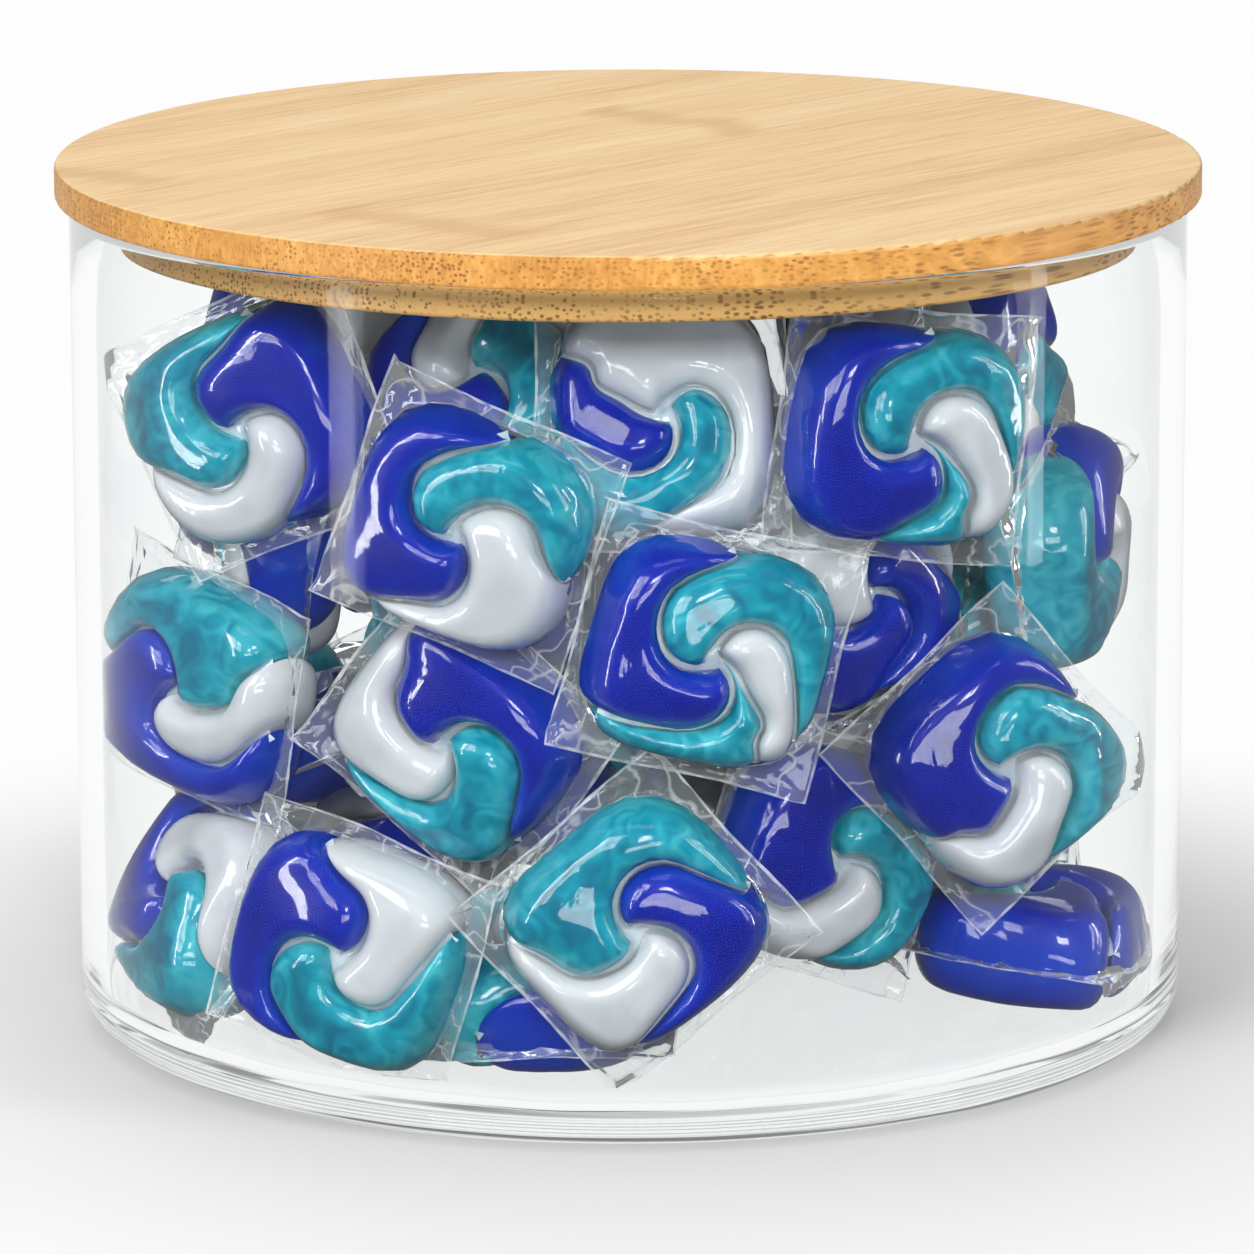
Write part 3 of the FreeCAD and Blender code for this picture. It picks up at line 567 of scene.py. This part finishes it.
def read_pose(node):
    """Matrix from a pod's own frame, in millimetres about the middle of its film, to the jar's."""
    points, a, b, c = solid_triangles(node.data)
    start = points.mean(0)
    a, b, c = a - start, b - start, c - start
    share = np.einsum("ij,ij->i", a, np.cross(b, c)) / 6
    balance = (share[:, None] * (a + b + c)).sum(0) / 4 / share.sum()
    a, b, c = a - balance, b - balance, c - balance
    total = a + b + c
    spread_of = sum(np.einsum("i,ij,ik->jk", share, p, p) for p in (a, b, c, total)) / 20 / share.sum()
    _, axes = np.linalg.eigh(spread_of)
    flat, _, long = axes.T
    rest = points - start - balance
    reach_out = np.linalg.norm(rest - np.outer(rest @ flat, flat), axis=1)
    film_level = (rest @ flat)[reach_out > reach_out.max() - RIM_BAND].mean()
    if (rest @ flat).max() - film_level < film_level - (rest @ flat).min():
        flat, film_level = -flat, -film_level
    side = np.cross(flat, long)
    p, q, r = (v @ long + 1j * (v @ side) for v in (a, b, c))
    cubes = p**3 + q**3 + r**3 + p * p * (q + r) + q * q * (p + r) + r * r * (p + q) + p * q * r
    leaning = (share * cubes).sum()
    if (leaning * np.exp(-1j * SWIRL_LEAN)).real < 0:
        long, side = -long, -side
    turn = np.stack([long, side, flat], axis=1)
    middle = [((rest @ axis).max() + (rest @ axis).min()) / 2 for axis in (long, side)]
    centre = start + balance + turn @ np.array([*middle, film_level])
    pose = np.eye(4)
    pose[:3, :3], pose[:3, 3] = turn, centre
    return pose


POD_NAMES = sorted(name for name in nodes if name.startswith("pod_"))
poses = {name: read_pose(nodes[name]) for name in POD_NAMES}
print(len(poses), "pods read; the first stands at", poses["pod_01"][:3, 3].round(1), "mm")

# %% [markdown]
# ## The gels
# Seen from above, curved seams run from the middle of a pod to its edge and wind round it, so that each gel
# has a round head in the middle and a broad tail outside. Three gels share the middle evenly; the few pods
# with four do not. A pod could be sculpted by hand, but nearly sixty are needed and no two are quite alike,
# so the form is written down: rings from the middle outward, and a swirl that turns each ring. The grid
# lines then run along the seams, and the colours part cleanly. From a quarter of the way out, each seam
# swings toward the heading at which it is to reach the outline.

# %% Plan of a pod
POD_WIDTH, POD_DEPTH = 41.2, 38.2
SQUARENESS = 3.4
MEAN_REACH = 21.0
SWIRL_RADIUS, SWIRL_OFFSET, SWIRL_HEADING = 7.5, 6.8, -27.0
SWIRL_START, SWIRL_END, SWIRL_TAIL = 172.0, 35.0, 22.0
HEADINGS = (80, 235, 340)
MIDDLE_SHARES = {3: (1, 1, 1), 4: (1, 0.15, 0.9, 1)}
HEAD_VARIES = 0.08
END_VARIES = 3
HEART = 0.25


def swirl_curve(head):
    """One seam as (reach, heading) samples: an arc round a gel's head, then a straight tail."""
    sweep = np.radians(np.linspace(SWIRL_START, SWIRL_END, 40))
    radius = SWIRL_RADIUS * head
    arc_part = SWIRL_OFFSET * head + radius * np.exp(1j * sweep)
    tail = arc_part[-1] + np.exp(1j * (sweep[-1] - math.pi / 2)) * np.linspace(1, SWIRL_TAIL, 20)
    line = np.concatenate([arc_part, tail]) * np.exp(1j * math.radians(SWIRL_HEADING))
    return np.abs(line), np.unwrap(np.angle(line))


def outline_reach(heading):
    """Distance from a pod's middle to its rounded square outline."""
    across = np.abs(np.cos(heading) / (POD_WIDTH / 2)) ** SQUARENESS
    along = np.abs(np.sin(heading) / (POD_DEPTH / 2)) ** SQUARENESS
    return (across + along) ** (-1 / SQUARENESS)


def on_plan(share, heading):
    """Point of the plan at a share of the way out: rings are round in the middle and square at the edge."""
    square = share**2
    reach = share * ((1 - square) * MEAN_REACH + square * outline_reach(heading))
    return reach * np.exp(1j * heading)


print("a pod is", POD_WIDTH, "by", POD_DEPTH, "mm")


# %% The seams
class Swirl:
    """The seams of one pod. Each has its own small deviation and reaches the outline at its own heading."""

    def __init__(self, dice, ends):
        self.count = len(ends)
        self.curves = [swirl_curve(1 + dice.uniform(-HEAD_VARIES, HEAD_VARIES)) for _ in ends]
        unturned = [np.interp(MEAN_REACH, *curve) for curve in self.curves]
        shares = np.array(MIDDLE_SHARES[self.count]) / sum(MIDDLE_SHARES[self.count])
        self.outer = np.radians([end + dice.uniform(-END_VARIES, END_VARIES) for end in ends]) - unturned
        self.inner = 2 * math.pi * np.concatenate([[0], np.cumsum(shares)[:-1]])
        self.inner += (self.outer - self.inner).mean()
        self.shares = np.linspace(0.02, 1.0, 90)
        self.lines = [on_plan(self.shares, self.heading(k, self.shares)) for k in range(self.count)]

    def heading(self, seam, share):
        """Heading of a seam where it crosses a ring."""
        k = seam % self.count
        reaches, headings = self.curves[k]
        out = np.clip((share - HEART) / (1 - HEART), 0, 1)
        turn = self.inner[k] + (self.outer[k] - self.inner[k]) * out * out * (3 - 2 * out)
        return np.interp(share * MEAN_REACH, reaches, headings) + turn + 2 * math.pi * (seam == self.count)

    def distance(self, seam, points):
        """Distance of plan points from a seam."""
        line = self.lines[seam % self.count]
        return np.abs(points[..., None] - line).min(-1)


print("seams end at", HEADINGS, "degrees unless a pod has its own")

# %% [markdown]
# A gel swells over its whole width and rolls down at its borders like a filled cushion: all the way to the
# film at the outline, and about halfway at the seams. Each border lowers the crown by its own rounding, and
# multiplying them keeps the surface smooth where two of them meet, at the tip of the tail.

# %% Rounding and unevenness
DOME, BELLY = 12.3, 9.4
SEAM_HALF = 0.5
SEAM_LEVEL = 0.52
SEAM_ROLL, EDGE_ROLL, TIP_ROLL = 4.2, 4.4, 2.2
CROWN_FALL, FALL_POWER = 0.30, 2.2
GRID_START = 0.085
NEAR_WIDTH = 5.5


def rolled(distance, width):
    """Quarter-round rise from a border, 0 at the border and 1 from the given width inward."""
    short = 1 - np.clip(distance / width, 0, 1)
    return np.clip(1 - short**2.4, 0, 1) ** 0.55


def waves(points, dice, length):
    """Smooth random unevenness, about -1 to 1, over plan points."""
    total = 0
    for _ in range(4):
        way = np.exp(1j * dice.uniform(0, 2 * math.pi))
        total = total + np.sin((points * way).real * 2 * math.pi / length + dice.uniform(0, 6.28))
    return total / 2.5


print("crowns", DOME, "mm above the film and", BELLY, "mm below it")


# %% One gel's plan and heights
def gel_grid(swirl, seam, rings, across):
    """Plan points of one gel between two seams, row by row outward, and each row's share of the way out."""
    out = np.linspace(0, 1, rings)
    shares = GRID_START + (1 - GRID_START) * np.sin(out * math.pi / 2) ** 0.9
    step = (1 - np.cos(np.linspace(0, math.pi, across))) / 2
    plan = []
    for share in shares:
        first, last = swirl.heading(seam, share), swirl.heading(seam + 1, share)
        before, after = swirl.heading(seam, share - 0.01), swirl.heading(seam + 1, share - 0.01)
        slopes = [(h - b) / 0.01 * share for h, b in ((first, before), (last, after))]
        half = SEAM_HALF * (1 + 0.9 * math.exp(-(share / 0.3) ** 2))
        gaps = [half * math.hypot(1, slope) / (share * MEAN_REACH) for slope in slopes]
        span = last - first
        trim = min(1.0, 0.42 * span / max(gaps))
        headings = first + gaps[0] * trim + step * (span - (gaps[0] + gaps[1]) * trim)
        plan.append(on_plan(share, headings))
    return np.array(plan), shares


def gel_heights(plan, shares, swirl, seam, dice):
    """Dome and belly heights over one gel's plan, and how near each point is to a border."""
    to_seams = [swirl.distance(seam, plan), swirl.distance(seam + 1, plan)]
    middle = np.abs(plan)
    room = (1 - shares[:, None]) * outline_reach(np.angle(plan))
    before, after = (rolled(distance - SEAM_HALF * 0.6, SEAM_ROLL) for distance in to_seams)
    sides = before * after
    inner = rolled(middle - 1.0, TIP_ROLL)
    outer = rolled(room, EDGE_ROLL)
    uneven = 1 + 0.045 * waves(plan, dice, 17)
    ring = (middle / outline_reach(np.angle(plan))) ** FALL_POWER
    heights = []
    for crown in (DOME, BELLY):
        hill = crown * (1 - CROWN_FALL * ring) * uneven
        hill = np.minimum(hill, crown + 0.15)
        level = SEAM_LEVEL * crown
        heights.append((level + (hill - level) * sides * inner) * outer)
    nearness = 1 - np.clip(np.minimum(np.minimum(*to_seams), room) / NEAR_WIDTH, 0, 1)
    return heights[0], heights[1], nearness


print("a gel's grid starts", round(GRID_START * MEAN_REACH, 1), "mm from the middle")


# %% One gel's skin
def make_gel(swirl, seam, rings, across, dice):
    """Closed skin of one gel: points, quads and the nearness of each point to a border."""
    plan, shares = gel_grid(swirl, seam, rings, across)
    dome, belly, nearness = gel_heights(plan, shares, swirl, seam, dice)
    notch = np.minimum(swirl.distance(seam, plan[-1]), swirl.distance(seam + 1, plan[-1]))
    pull = 1 - 0.055 * np.exp(-(notch / 2.2) ** 2) * (shares[:, None] ** 6)
    plan = plan * pull * (1 + 0.012 * waves(plan, dice, 21))
    top = np.stack([plan.real, plan.imag, dome], -1).reshape(-1, 3)
    under = np.stack([plan.real, plan.imag, -belly], -1).reshape(-1, 3)[:-across]
    count = rings * across

    def low(index):
        return index if index >= count - across else count + index

    faces = grid_faces(rings, across)
    faces += [tuple(low(i) for i in face)[::-1] for face in grid_faces(rings, across)]
    rim = [row * across for row in range(rings)][::-1] + list(range(1, across))
    rim += [row * across + across - 1 for row in range(1, rings)]
    for here, after in zip(rim, rim[1:]):
        wall = [here, after, low(after), low(here)]
        wall = [corner for number, corner in enumerate(wall) if corner != wall[number - 1]]
        if len(wall) > 2:
            faces.append(tuple(wall[::-1]))
    faces = [face[::-1] for face in faces]
    near = np.concatenate([nearness.reshape(-1), nearness.reshape(-1)[:-across]])
    return np.concatenate([top, under]), faces, near


trial = make_gel(Swirl(random.Random(1), HEADINGS), 0, 24, 18, random.Random(1))
print("one gel:", len(trial[0]), "points,", len(trial[1]), "faces")

# %% [markdown]
# ## The film
# Each pod is sealed between two sheets of clear film cut to a sharp-cornered rectangle. Over the gels the
# film lies so close that it shows only as their gloss, so it isn't drawn there. Outside them the sheets are
# welded into a thin, crumpled skirt. Its folds run round the gels, one behind the other, and each throws back
# its own bright line. A narrow rim of faces stands for the cut edge, whose glint is painted on in white.

# %% The sheet's rim
SHEET_WIDTH, SHEET_DEPTH = 46.0, 43.5
CUT_EDGE = 0.5
SKIRT_FROM = 0.965
FOLDS = [(0.0, 1.6, 0.08), (0.07, 0.80, 0.16), (0.16, -0.15, 0.20), (0.28, 0.42, 0.22), (0.42, -0.25, 0.24),
         (0.58, 0.38, 0.26), (0.76, -0.15, 0.26), (0.90, 0.15, 0.22), (1.0, 0.0, 0.18)]


def sheet_rim(per_side):
    """Points round the rectangle's edge, corners included."""
    turns = ((-1, -1), (1, -1), (1, 1), (-1, 1))
    corners = [complex(x * SHEET_WIDTH / 2, y * SHEET_DEPTH / 2) for x, y in turns]
    rim = []
    for here, after in zip(corners, corners[1:] + corners[:1]):
        rim += [here + (after - here) * step / per_side for step in range(per_side)]
    return np.array(rim)


print("film of", SHEET_WIDTH, "by", SHEET_DEPTH, "mm in", len(FOLDS), "folds")


# %% One pod's film
def make_film(dice, per_side):
    """Skirt of a pod's film: points, faces and which faces are the bright cut edge."""
    rng = np.random.default_rng(dice.randrange(10**6))
    rim = sheet_rim(per_side)
    count = len(rim)
    heading = np.angle(rim)
    waist = outline_reach(heading) * np.exp(1j * heading)
    lift = rng.normal(0, 1, 4)[np.arange(count) // per_side] + 0.6 * np.sin(heading * 3 + dice.uniform(0, 6))
    drift = 0.8 * np.sin(heading * 2 + dice.uniform(0, 6)) + 0.5 * np.sin(heading * 5 + dice.uniform(0, 6))
    corner = np.clip((np.abs(rim - waist) - 3) / 5, 0, 1)
    bowed = rim * (1 - 0.018 * (1 + np.sin(heading * 4 + dice.uniform(0, 6))))
    skirt = []
    for share, fold, shake in FOLDS:
        plan = waist * SKIRT_FROM + (bowed - waist * SKIRT_FROM) * share
        level = fold * (0.8 + 0.4 * drift) + (lift + drift) * share**1.6 * (0.4 + 0.7 * corner)
        skirt.append((plan, level, shake))
    skirt.append((bowed * (1 + CUT_EDGE / np.abs(rim)), skirt[-1][1], 0.05))
    points = []
    for plan, level, shake in skirt:
        shaken = plan + shake * (rng.normal(0, 1, count) + 1j * rng.normal(0, 1, count)) * 0.6
        height = level + shake * rng.normal(0, 1, count)
        points.extend(zip(shaken.real, shaken.imag, height))
    faces = grid_faces(len(skirt), count, wrap=True)
    return np.array(points), faces, [0] * (len(faces) - count) + [1] * count


trial = make_film(random.Random(1), 22)
print("one film:", len(trial[0]), "points,", len(trial[1]), "faces")

# %% [markdown]
# Film is hardly there: most light goes straight through. What shows is the gloss of each facet, stronger
# where it is seen aslant, a faint milky haze, and a white line along each crease: a painted highlight, where
# the folds would catch the lamps. The creases are where a cloudy value passes its middle. The cut edge is
# painted whiter still, as a glint with nicks in it.

# %% Film finish
FILM_IOR = 1.48
clear_film, film_out = new_finish("clear_film")
tree = clear_film.node_tree
film_place = add(tree, "TexCoord").outputs["Object"]
crease = add_math(tree, "ABSOLUTE", add_math(tree, "SUBTRACT", add_noise(tree, film_place, 110, 1), 0.5))
# Painted highlight: white along each crease stands in for folds catching the lamps; elsewhere a faint milky
# haze.
haze_and_highlight_share = add_range(tree, crease, 0.0, 0.025, 0.45, 0.13)
gloss = add(tree, "BsdfGlossy", {"Color": (1, 1, 1, 1), "Roughness": 0.06}).outputs[0]
through = add(tree, "BsdfTransparent", {"Color": (0.985, 0.99, 0.995, 1)}).outputs[0]
aslant = add(tree, "Fresnel", {"IOR": FILM_IOR}).outputs[0]
sheer = mix_shaders(tree, aslant, through, gloss)
white = add(tree, "BsdfDiffuse", {"Color": (0.86, 0.90, 0.93, 1)}).outputs[0]
tree.links.new(mix_shaders(tree, haze_and_highlight_share, sheer, white), film_out.inputs["Surface"])
print("clear film ready")

# %% Cut edge finish
cut_edge_glint, edge_out = new_finish("cut_edge_glint")
tree = cut_edge_glint.node_tree
edge_place = add(tree, "TexCoord").outputs["Object"]
# Painted highlight: the cut edge's glint is white, broken into nicks, over clear film.
glint_share = add_range(tree, add_noise(tree, edge_place, 300, 2), 0.35, 0.7, 0.25, 0.75)
through = add(tree, "BsdfTransparent", {"Color": (0.98, 0.98, 0.98, 1)}).outputs[0]
white = add(tree, "BsdfDiffuse", {"Color": (0.90, 0.93, 0.95, 1)}).outputs[0]
tree.links.new(mix_shaders(tree, glint_share, through, white), edge_out.inputs["Surface"])
print("cut edge ready")

# %% [markdown]
# ## Gel finishes
# The gels lie right under the film, so each has the film's hard gloss over a softer body: that is a coat. The
# blue is deep, the teal cloudy, the white like pearl. A gel is paler where it is thin, at its borders, which
# the mesh tells the material through a value kept on its points. The film over it puckers there as well, so
# the coat's bump grows toward the borders.

# %% Gel finish
PUCKER_SCALE = 130
PUCKER_DEEP, PUCKER_FLAT = 0.55, 0.06


def gel_finish(name, deep, middle, thin, cloud_size, cloudiness):
    """Glossy gel: deep in its middle, paler at its borders, clouded inside."""
    finish, out = new_finish(name)
    tree = finish.node_tree
    place = add(tree, "TexCoord").outputs["Object"]
    near = add(tree, "Attribute", {}, attribute_name="near_border").outputs["Fac"]
    bent = add_noise(tree, place, 1 / cloud_size, 2, distortion=1.4)
    clouds = add_math(tree, "MULTIPLY", add_math(tree, "SUBTRACT", bent, 0.5), cloudiness)
    depth = add_math(tree, "ADD", add_math(tree, "MULTIPLY_ADD", near, 0.5, 0.22), clouds, clamp=True)
    colour = add_ramp(tree, depth, [(0.05, deep), (0.45, middle), (0.95, thin)])
    ripples = add_noise(tree, place, PUCKER_SCALE, 1)
    crumple = add_math(tree, "ABSOLUTE", add_math(tree, "SUBTRACT", ripples, 0.5))
    nearer = add_math(tree, "POWER", near, 1.5)
    strength = add_math(tree, "MULTIPLY_ADD", nearer, PUCKER_DEEP, PUCKER_FLAT)
    film_skin = add(tree, "Bump", {"Height": crumple, "Strength": strength, "Distance": 0.002})
    gel = add(tree, "BsdfPrincipled", {"Base Color": colour, "Roughness": 0.32, "Specular IOR Level": 0.1,
                                       "Coat Weight": 1.0, "Coat Roughness": 0.035,
                                       "Coat Normal": film_skin.outputs["Normal"]}).outputs[0]
    tree.links.new(gel, out.inputs["Surface"])
    return finish


GELS = {
    "B": gel_finish("blue_gel", (0.000, 0.006, 0.26), (0.001, 0.016, 0.42), (0.004, 0.07, 0.62), 0.012, 0.5),
    "T": gel_finish("teal_gel", (0.000, 0.17, 0.29), (0.003, 0.35, 0.49), (0.07, 0.60, 0.70), 0.006, 1.5),
    "W": gel_finish("white_gel", (0.66, 0.72, 0.78), (0.76, 0.81, 0.86), (0.87, 0.90, 0.93), 0.010, 0.9),
}
print("gels:", list(GELS))

# %% [markdown]
# Between two gels the films are welded together. That seam shows as a whitish web, a little below the gels.

# %% Seam finish
seam_film, seam_out = new_finish("seam_film")
tree = seam_film.node_tree
seam_place = add(tree, "TexCoord").outputs["Object"]
seam_colour = add_ramp(tree, add_noise(tree, seam_place, 200, 2), [(0.3, (0.46, 0.62, 0.74)),
                                                                   (0.7, (0.78, 0.86, 0.91))])
seam = add(tree, "BsdfPrincipled", {"Base Color": seam_colour, "Roughness": 0.25,
                                    "Coat Weight": 0.6}).outputs[0]
tree.links.new(seam, seam_out.inputs["Surface"])
print("seam finish ready")

# %% [markdown]
# ## Filling the jar
# Every pod takes its own seams, dents and creases from a dice seeded with its name, so no two match and the
# heap is the same each time. The pods at the front have chosen seams and colours: each row gives, in degrees,
# where the seam before a gel reaches the outline, and the gel's colour. The next ones have chosen colours
# only, and those behind follow three orders in turn.

# %% Colours of the pods
FRONT_PODS = {
    "pod_01": ((85, "B"), (215, "T"), (305, "W"), (325, "T")),
    "pod_02": ((80, "B"), (235, "W"), (355, "T")),
    "pod_03": ((145, "W"), (225, "T"), (335, "B")),
    "pod_04": ((140, "W"), (225, "B"), (335, "T")),
    "pod_05": ((95, "B"), (240, "W"), (330, "T")),
    "pod_06": ((75, "B"), (255, "T"), (305, "W"), (340, "T")),
    "pod_07": ((85, "B"), (275, "W"), (340, "T")),
    "pod_08": ((85, "B"), (245, "T"), (355, "W")),
    "pod_09": ((145, "W"), (180, "B"), (355, "T")),
    "pod_10": ((30, "W"), (95, "T"), (185, "B")),
    "pod_11": ((55, "B"), (95, "T"), (170, "W")),
    "pod_17": ((140, "B"), (250, "B"), (330, "W")),
}
NEXT_PODS = {"pod_12": "BBT", "pod_13": "TWB", "pod_14": "WTB", "pod_15": "BTW", "pod_16": "TWB",
             "pod_18": "TBW", "pod_19": "BTW", "pod_20": "TBB", "pod_21": "WBB", "pod_22": "TBB"}
ORDERS = ("BWT", "WTB", "TBW")


def gels_of(name):
    """A pod's gels: where the seam before each reaches the outline, in degrees, and its colour."""
    order = NEXT_PODS.get(name, ORDERS[int(name[-2:]) % len(ORDERS)])
    return FRONT_PODS.get(name, tuple(zip(HEADINGS, order)))


print("chosen gels for", len(FRONT_PODS) + len(NEXT_PODS), "pods")

# %% [markdown]
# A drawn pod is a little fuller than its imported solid. What would pass the glass, the floor or the plug is
# laid against them instead. Neighbours aren't kept apart like that, and where pods touch, the drawn gels sink
# into each other by up to 3 mm.

# %% Room in the jar
FILM_CLEAR = 0.12
PLUG_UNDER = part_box("lid")[0].z / MM


def kept_inside(points):
    """Points moved back inside the glass, above the floor and below the lid's plug."""
    points = points.copy()
    limit = INNER_RADIUS - FILM_CLEAR - 0.6 * np.clip((20 - points[:, 2]) / 20, 0, 1)
    reach = np.hypot(points[:, 0], points[:, 1])
    points[:, :2] *= np.minimum(1, limit / np.maximum(reach, 1e-6))[:, None]
    points[:, 2] = np.clip(points[:, 2], FLOOR_THICK + FILM_CLEAR, PLUG_UNDER - FILM_CLEAR)
    return points


def in_jar(pose, points):
    """A pod's own points carried to their place in the jar, in metres."""
    return kept_inside(points @ pose[:3, :3].T + pose[:3, 3]) * MM


print("the heap may reach", round(PLUG_UNDER - FILM_CLEAR, 2), "mm up")


# %% Seams of welded film
RIBBON_SINK = 0.15
CAP_REACH, CAP_STEPS = 2.4, 12


def seam_ribbons(swirl):
    """Strips of welded film that show between the gels, above and below, and a cap where they meet."""
    points, faces = [], []
    for level, flip in ((SEAM_LEVEL * DOME - RIBBON_SINK, False), (-SEAM_LEVEL * BELLY + RIBBON_SINK, True)):
        side = math.copysign(1, level)
        for seam in range(swirl.count):
            line = swirl.lines[seam][:-5:3]
            across = np.gradient(line) * 1j
            across /= np.abs(across)
            fall = 1 - CROWN_FALL * (np.abs(line) / MEAN_REACH) ** FALL_POWER
            fall *= rolled(outline_reach(np.angle(line)) - np.abs(line) - 0.4, EDGE_ROLL)
            start = len(points)
            for offset, rise in ((-1.0, -0.4), (0.0, 0.2), (1.0, -0.4)):
                edge = line + across * offset
                points += [(p.real, p.imag, level * f + side * rise) for p, f in zip(edge, fall)]
            faces += grid_faces(3, len(line), offset=start, flip=not flip)
        start = len(points)
        cap = CAP_REACH * np.exp(1j * np.linspace(0, 2 * math.pi, CAP_STEPS + 1)[:-1])
        points += [(0, 0, level + side * 0.5)] + [(p.real, p.imag, level - side * 0.2) for p in cap]
        for k in range(CAP_STEPS):
            fan = (start, start + 1 + k, start + 1 + (k + 1) % CAP_STEPS)
            faces.append(fan[::-1] if flip else fan)
    return np.array(points), faces


print("ribbons lie", RIBBON_SINK, "mm under the seams' level")

# %% [markdown]
# The gels and their seams are one piece and the film is another, because it's thin and clear and they are
# thick. The film casts no shadow and isn't mirrored, as light that meets so many thin sheets takes long to
# follow. Pods deep in the heap are hardly seen, and a coarser grid does for them.

# %% Lay the pods
FINE_UP_TO = "pod_31"
FINE_GRID, COARSE_GRID = (26, 20, 22), (15, 12, 13)


def lay_pod(name):
    """Gels and film of one pod, at its packed pose."""
    dice = random.Random(name)
    rings, across, per_side = FINE_GRID if name <= FINE_UP_TO else COARSE_GRID
    ends, colours = zip(*gels_of(name))
    swirl = Swirl(dice, ends)
    skins = [make_gel(swirl, seam, rings, across, dice) for seam in range(swirl.count)]
    ribbon_points, ribbon_faces = seam_ribbons(swirl)
    skins.append((ribbon_points, ribbon_faces, np.ones(len(ribbon_points))))
    numbers = [list(GELS).index(colour) for colour in colours] + [len(GELS)]
    points, faces, near, finish_of = [], [], [], []
    for (skin_points, skin_faces, skin_near), number in zip(skins, numbers):
        start = sum(map(len, points))
        points.append(skin_points)
        near.append(skin_near)
        faces += [tuple(start + corner for corner in face) for face in skin_faces]
        finish_of += [number] * len(skin_faces)
    gels = new_piece(f"{name}_gels", in_jar(poses[name], np.concatenate(points)), faces,
                     [*GELS.values(), seam_film], face_finish=finish_of)
    value = gels.data.attributes.new("near_border", "FLOAT", "POINT")
    value.data.foreach_set("value", np.concatenate(near).astype(np.float32))
    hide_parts(name)
    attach(gels, "filled_jar")
    film_points, film_faces, film_finish = make_film(dice, per_side)
    film = new_piece(f"{name}_film", in_jar(poses[name], film_points), film_faces,
                     [clear_film, cut_edge_glint], face_finish=film_finish)
    film.visible_shadow = False
    film.visible_diffuse = False
    film.visible_glossy = False
    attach(film, "filled_jar")
    return gels, film


heap = [lay_pod(name) for name in POD_NAMES]
print("faces in the heap:", sum(len(piece.data.polygons) for pair in heap for piece in pair))

# %% [markdown]
# ## How far light is followed
# Glass and layers of film need many straight passes, but few real bounces, so each kind has its own limit.

# %% Light paths
paths = bpy.context.scene.cycles
paths.max_bounces = 9
paths.diffuse_bounces = 1
paths.glossy_bounces = 4
paths.transmission_bounces = 8
paths.transparent_max_bounces = 12
paths.caustics_refractive = False
paths.caustics_reflective = False
print("bounces", paths.max_bounces)
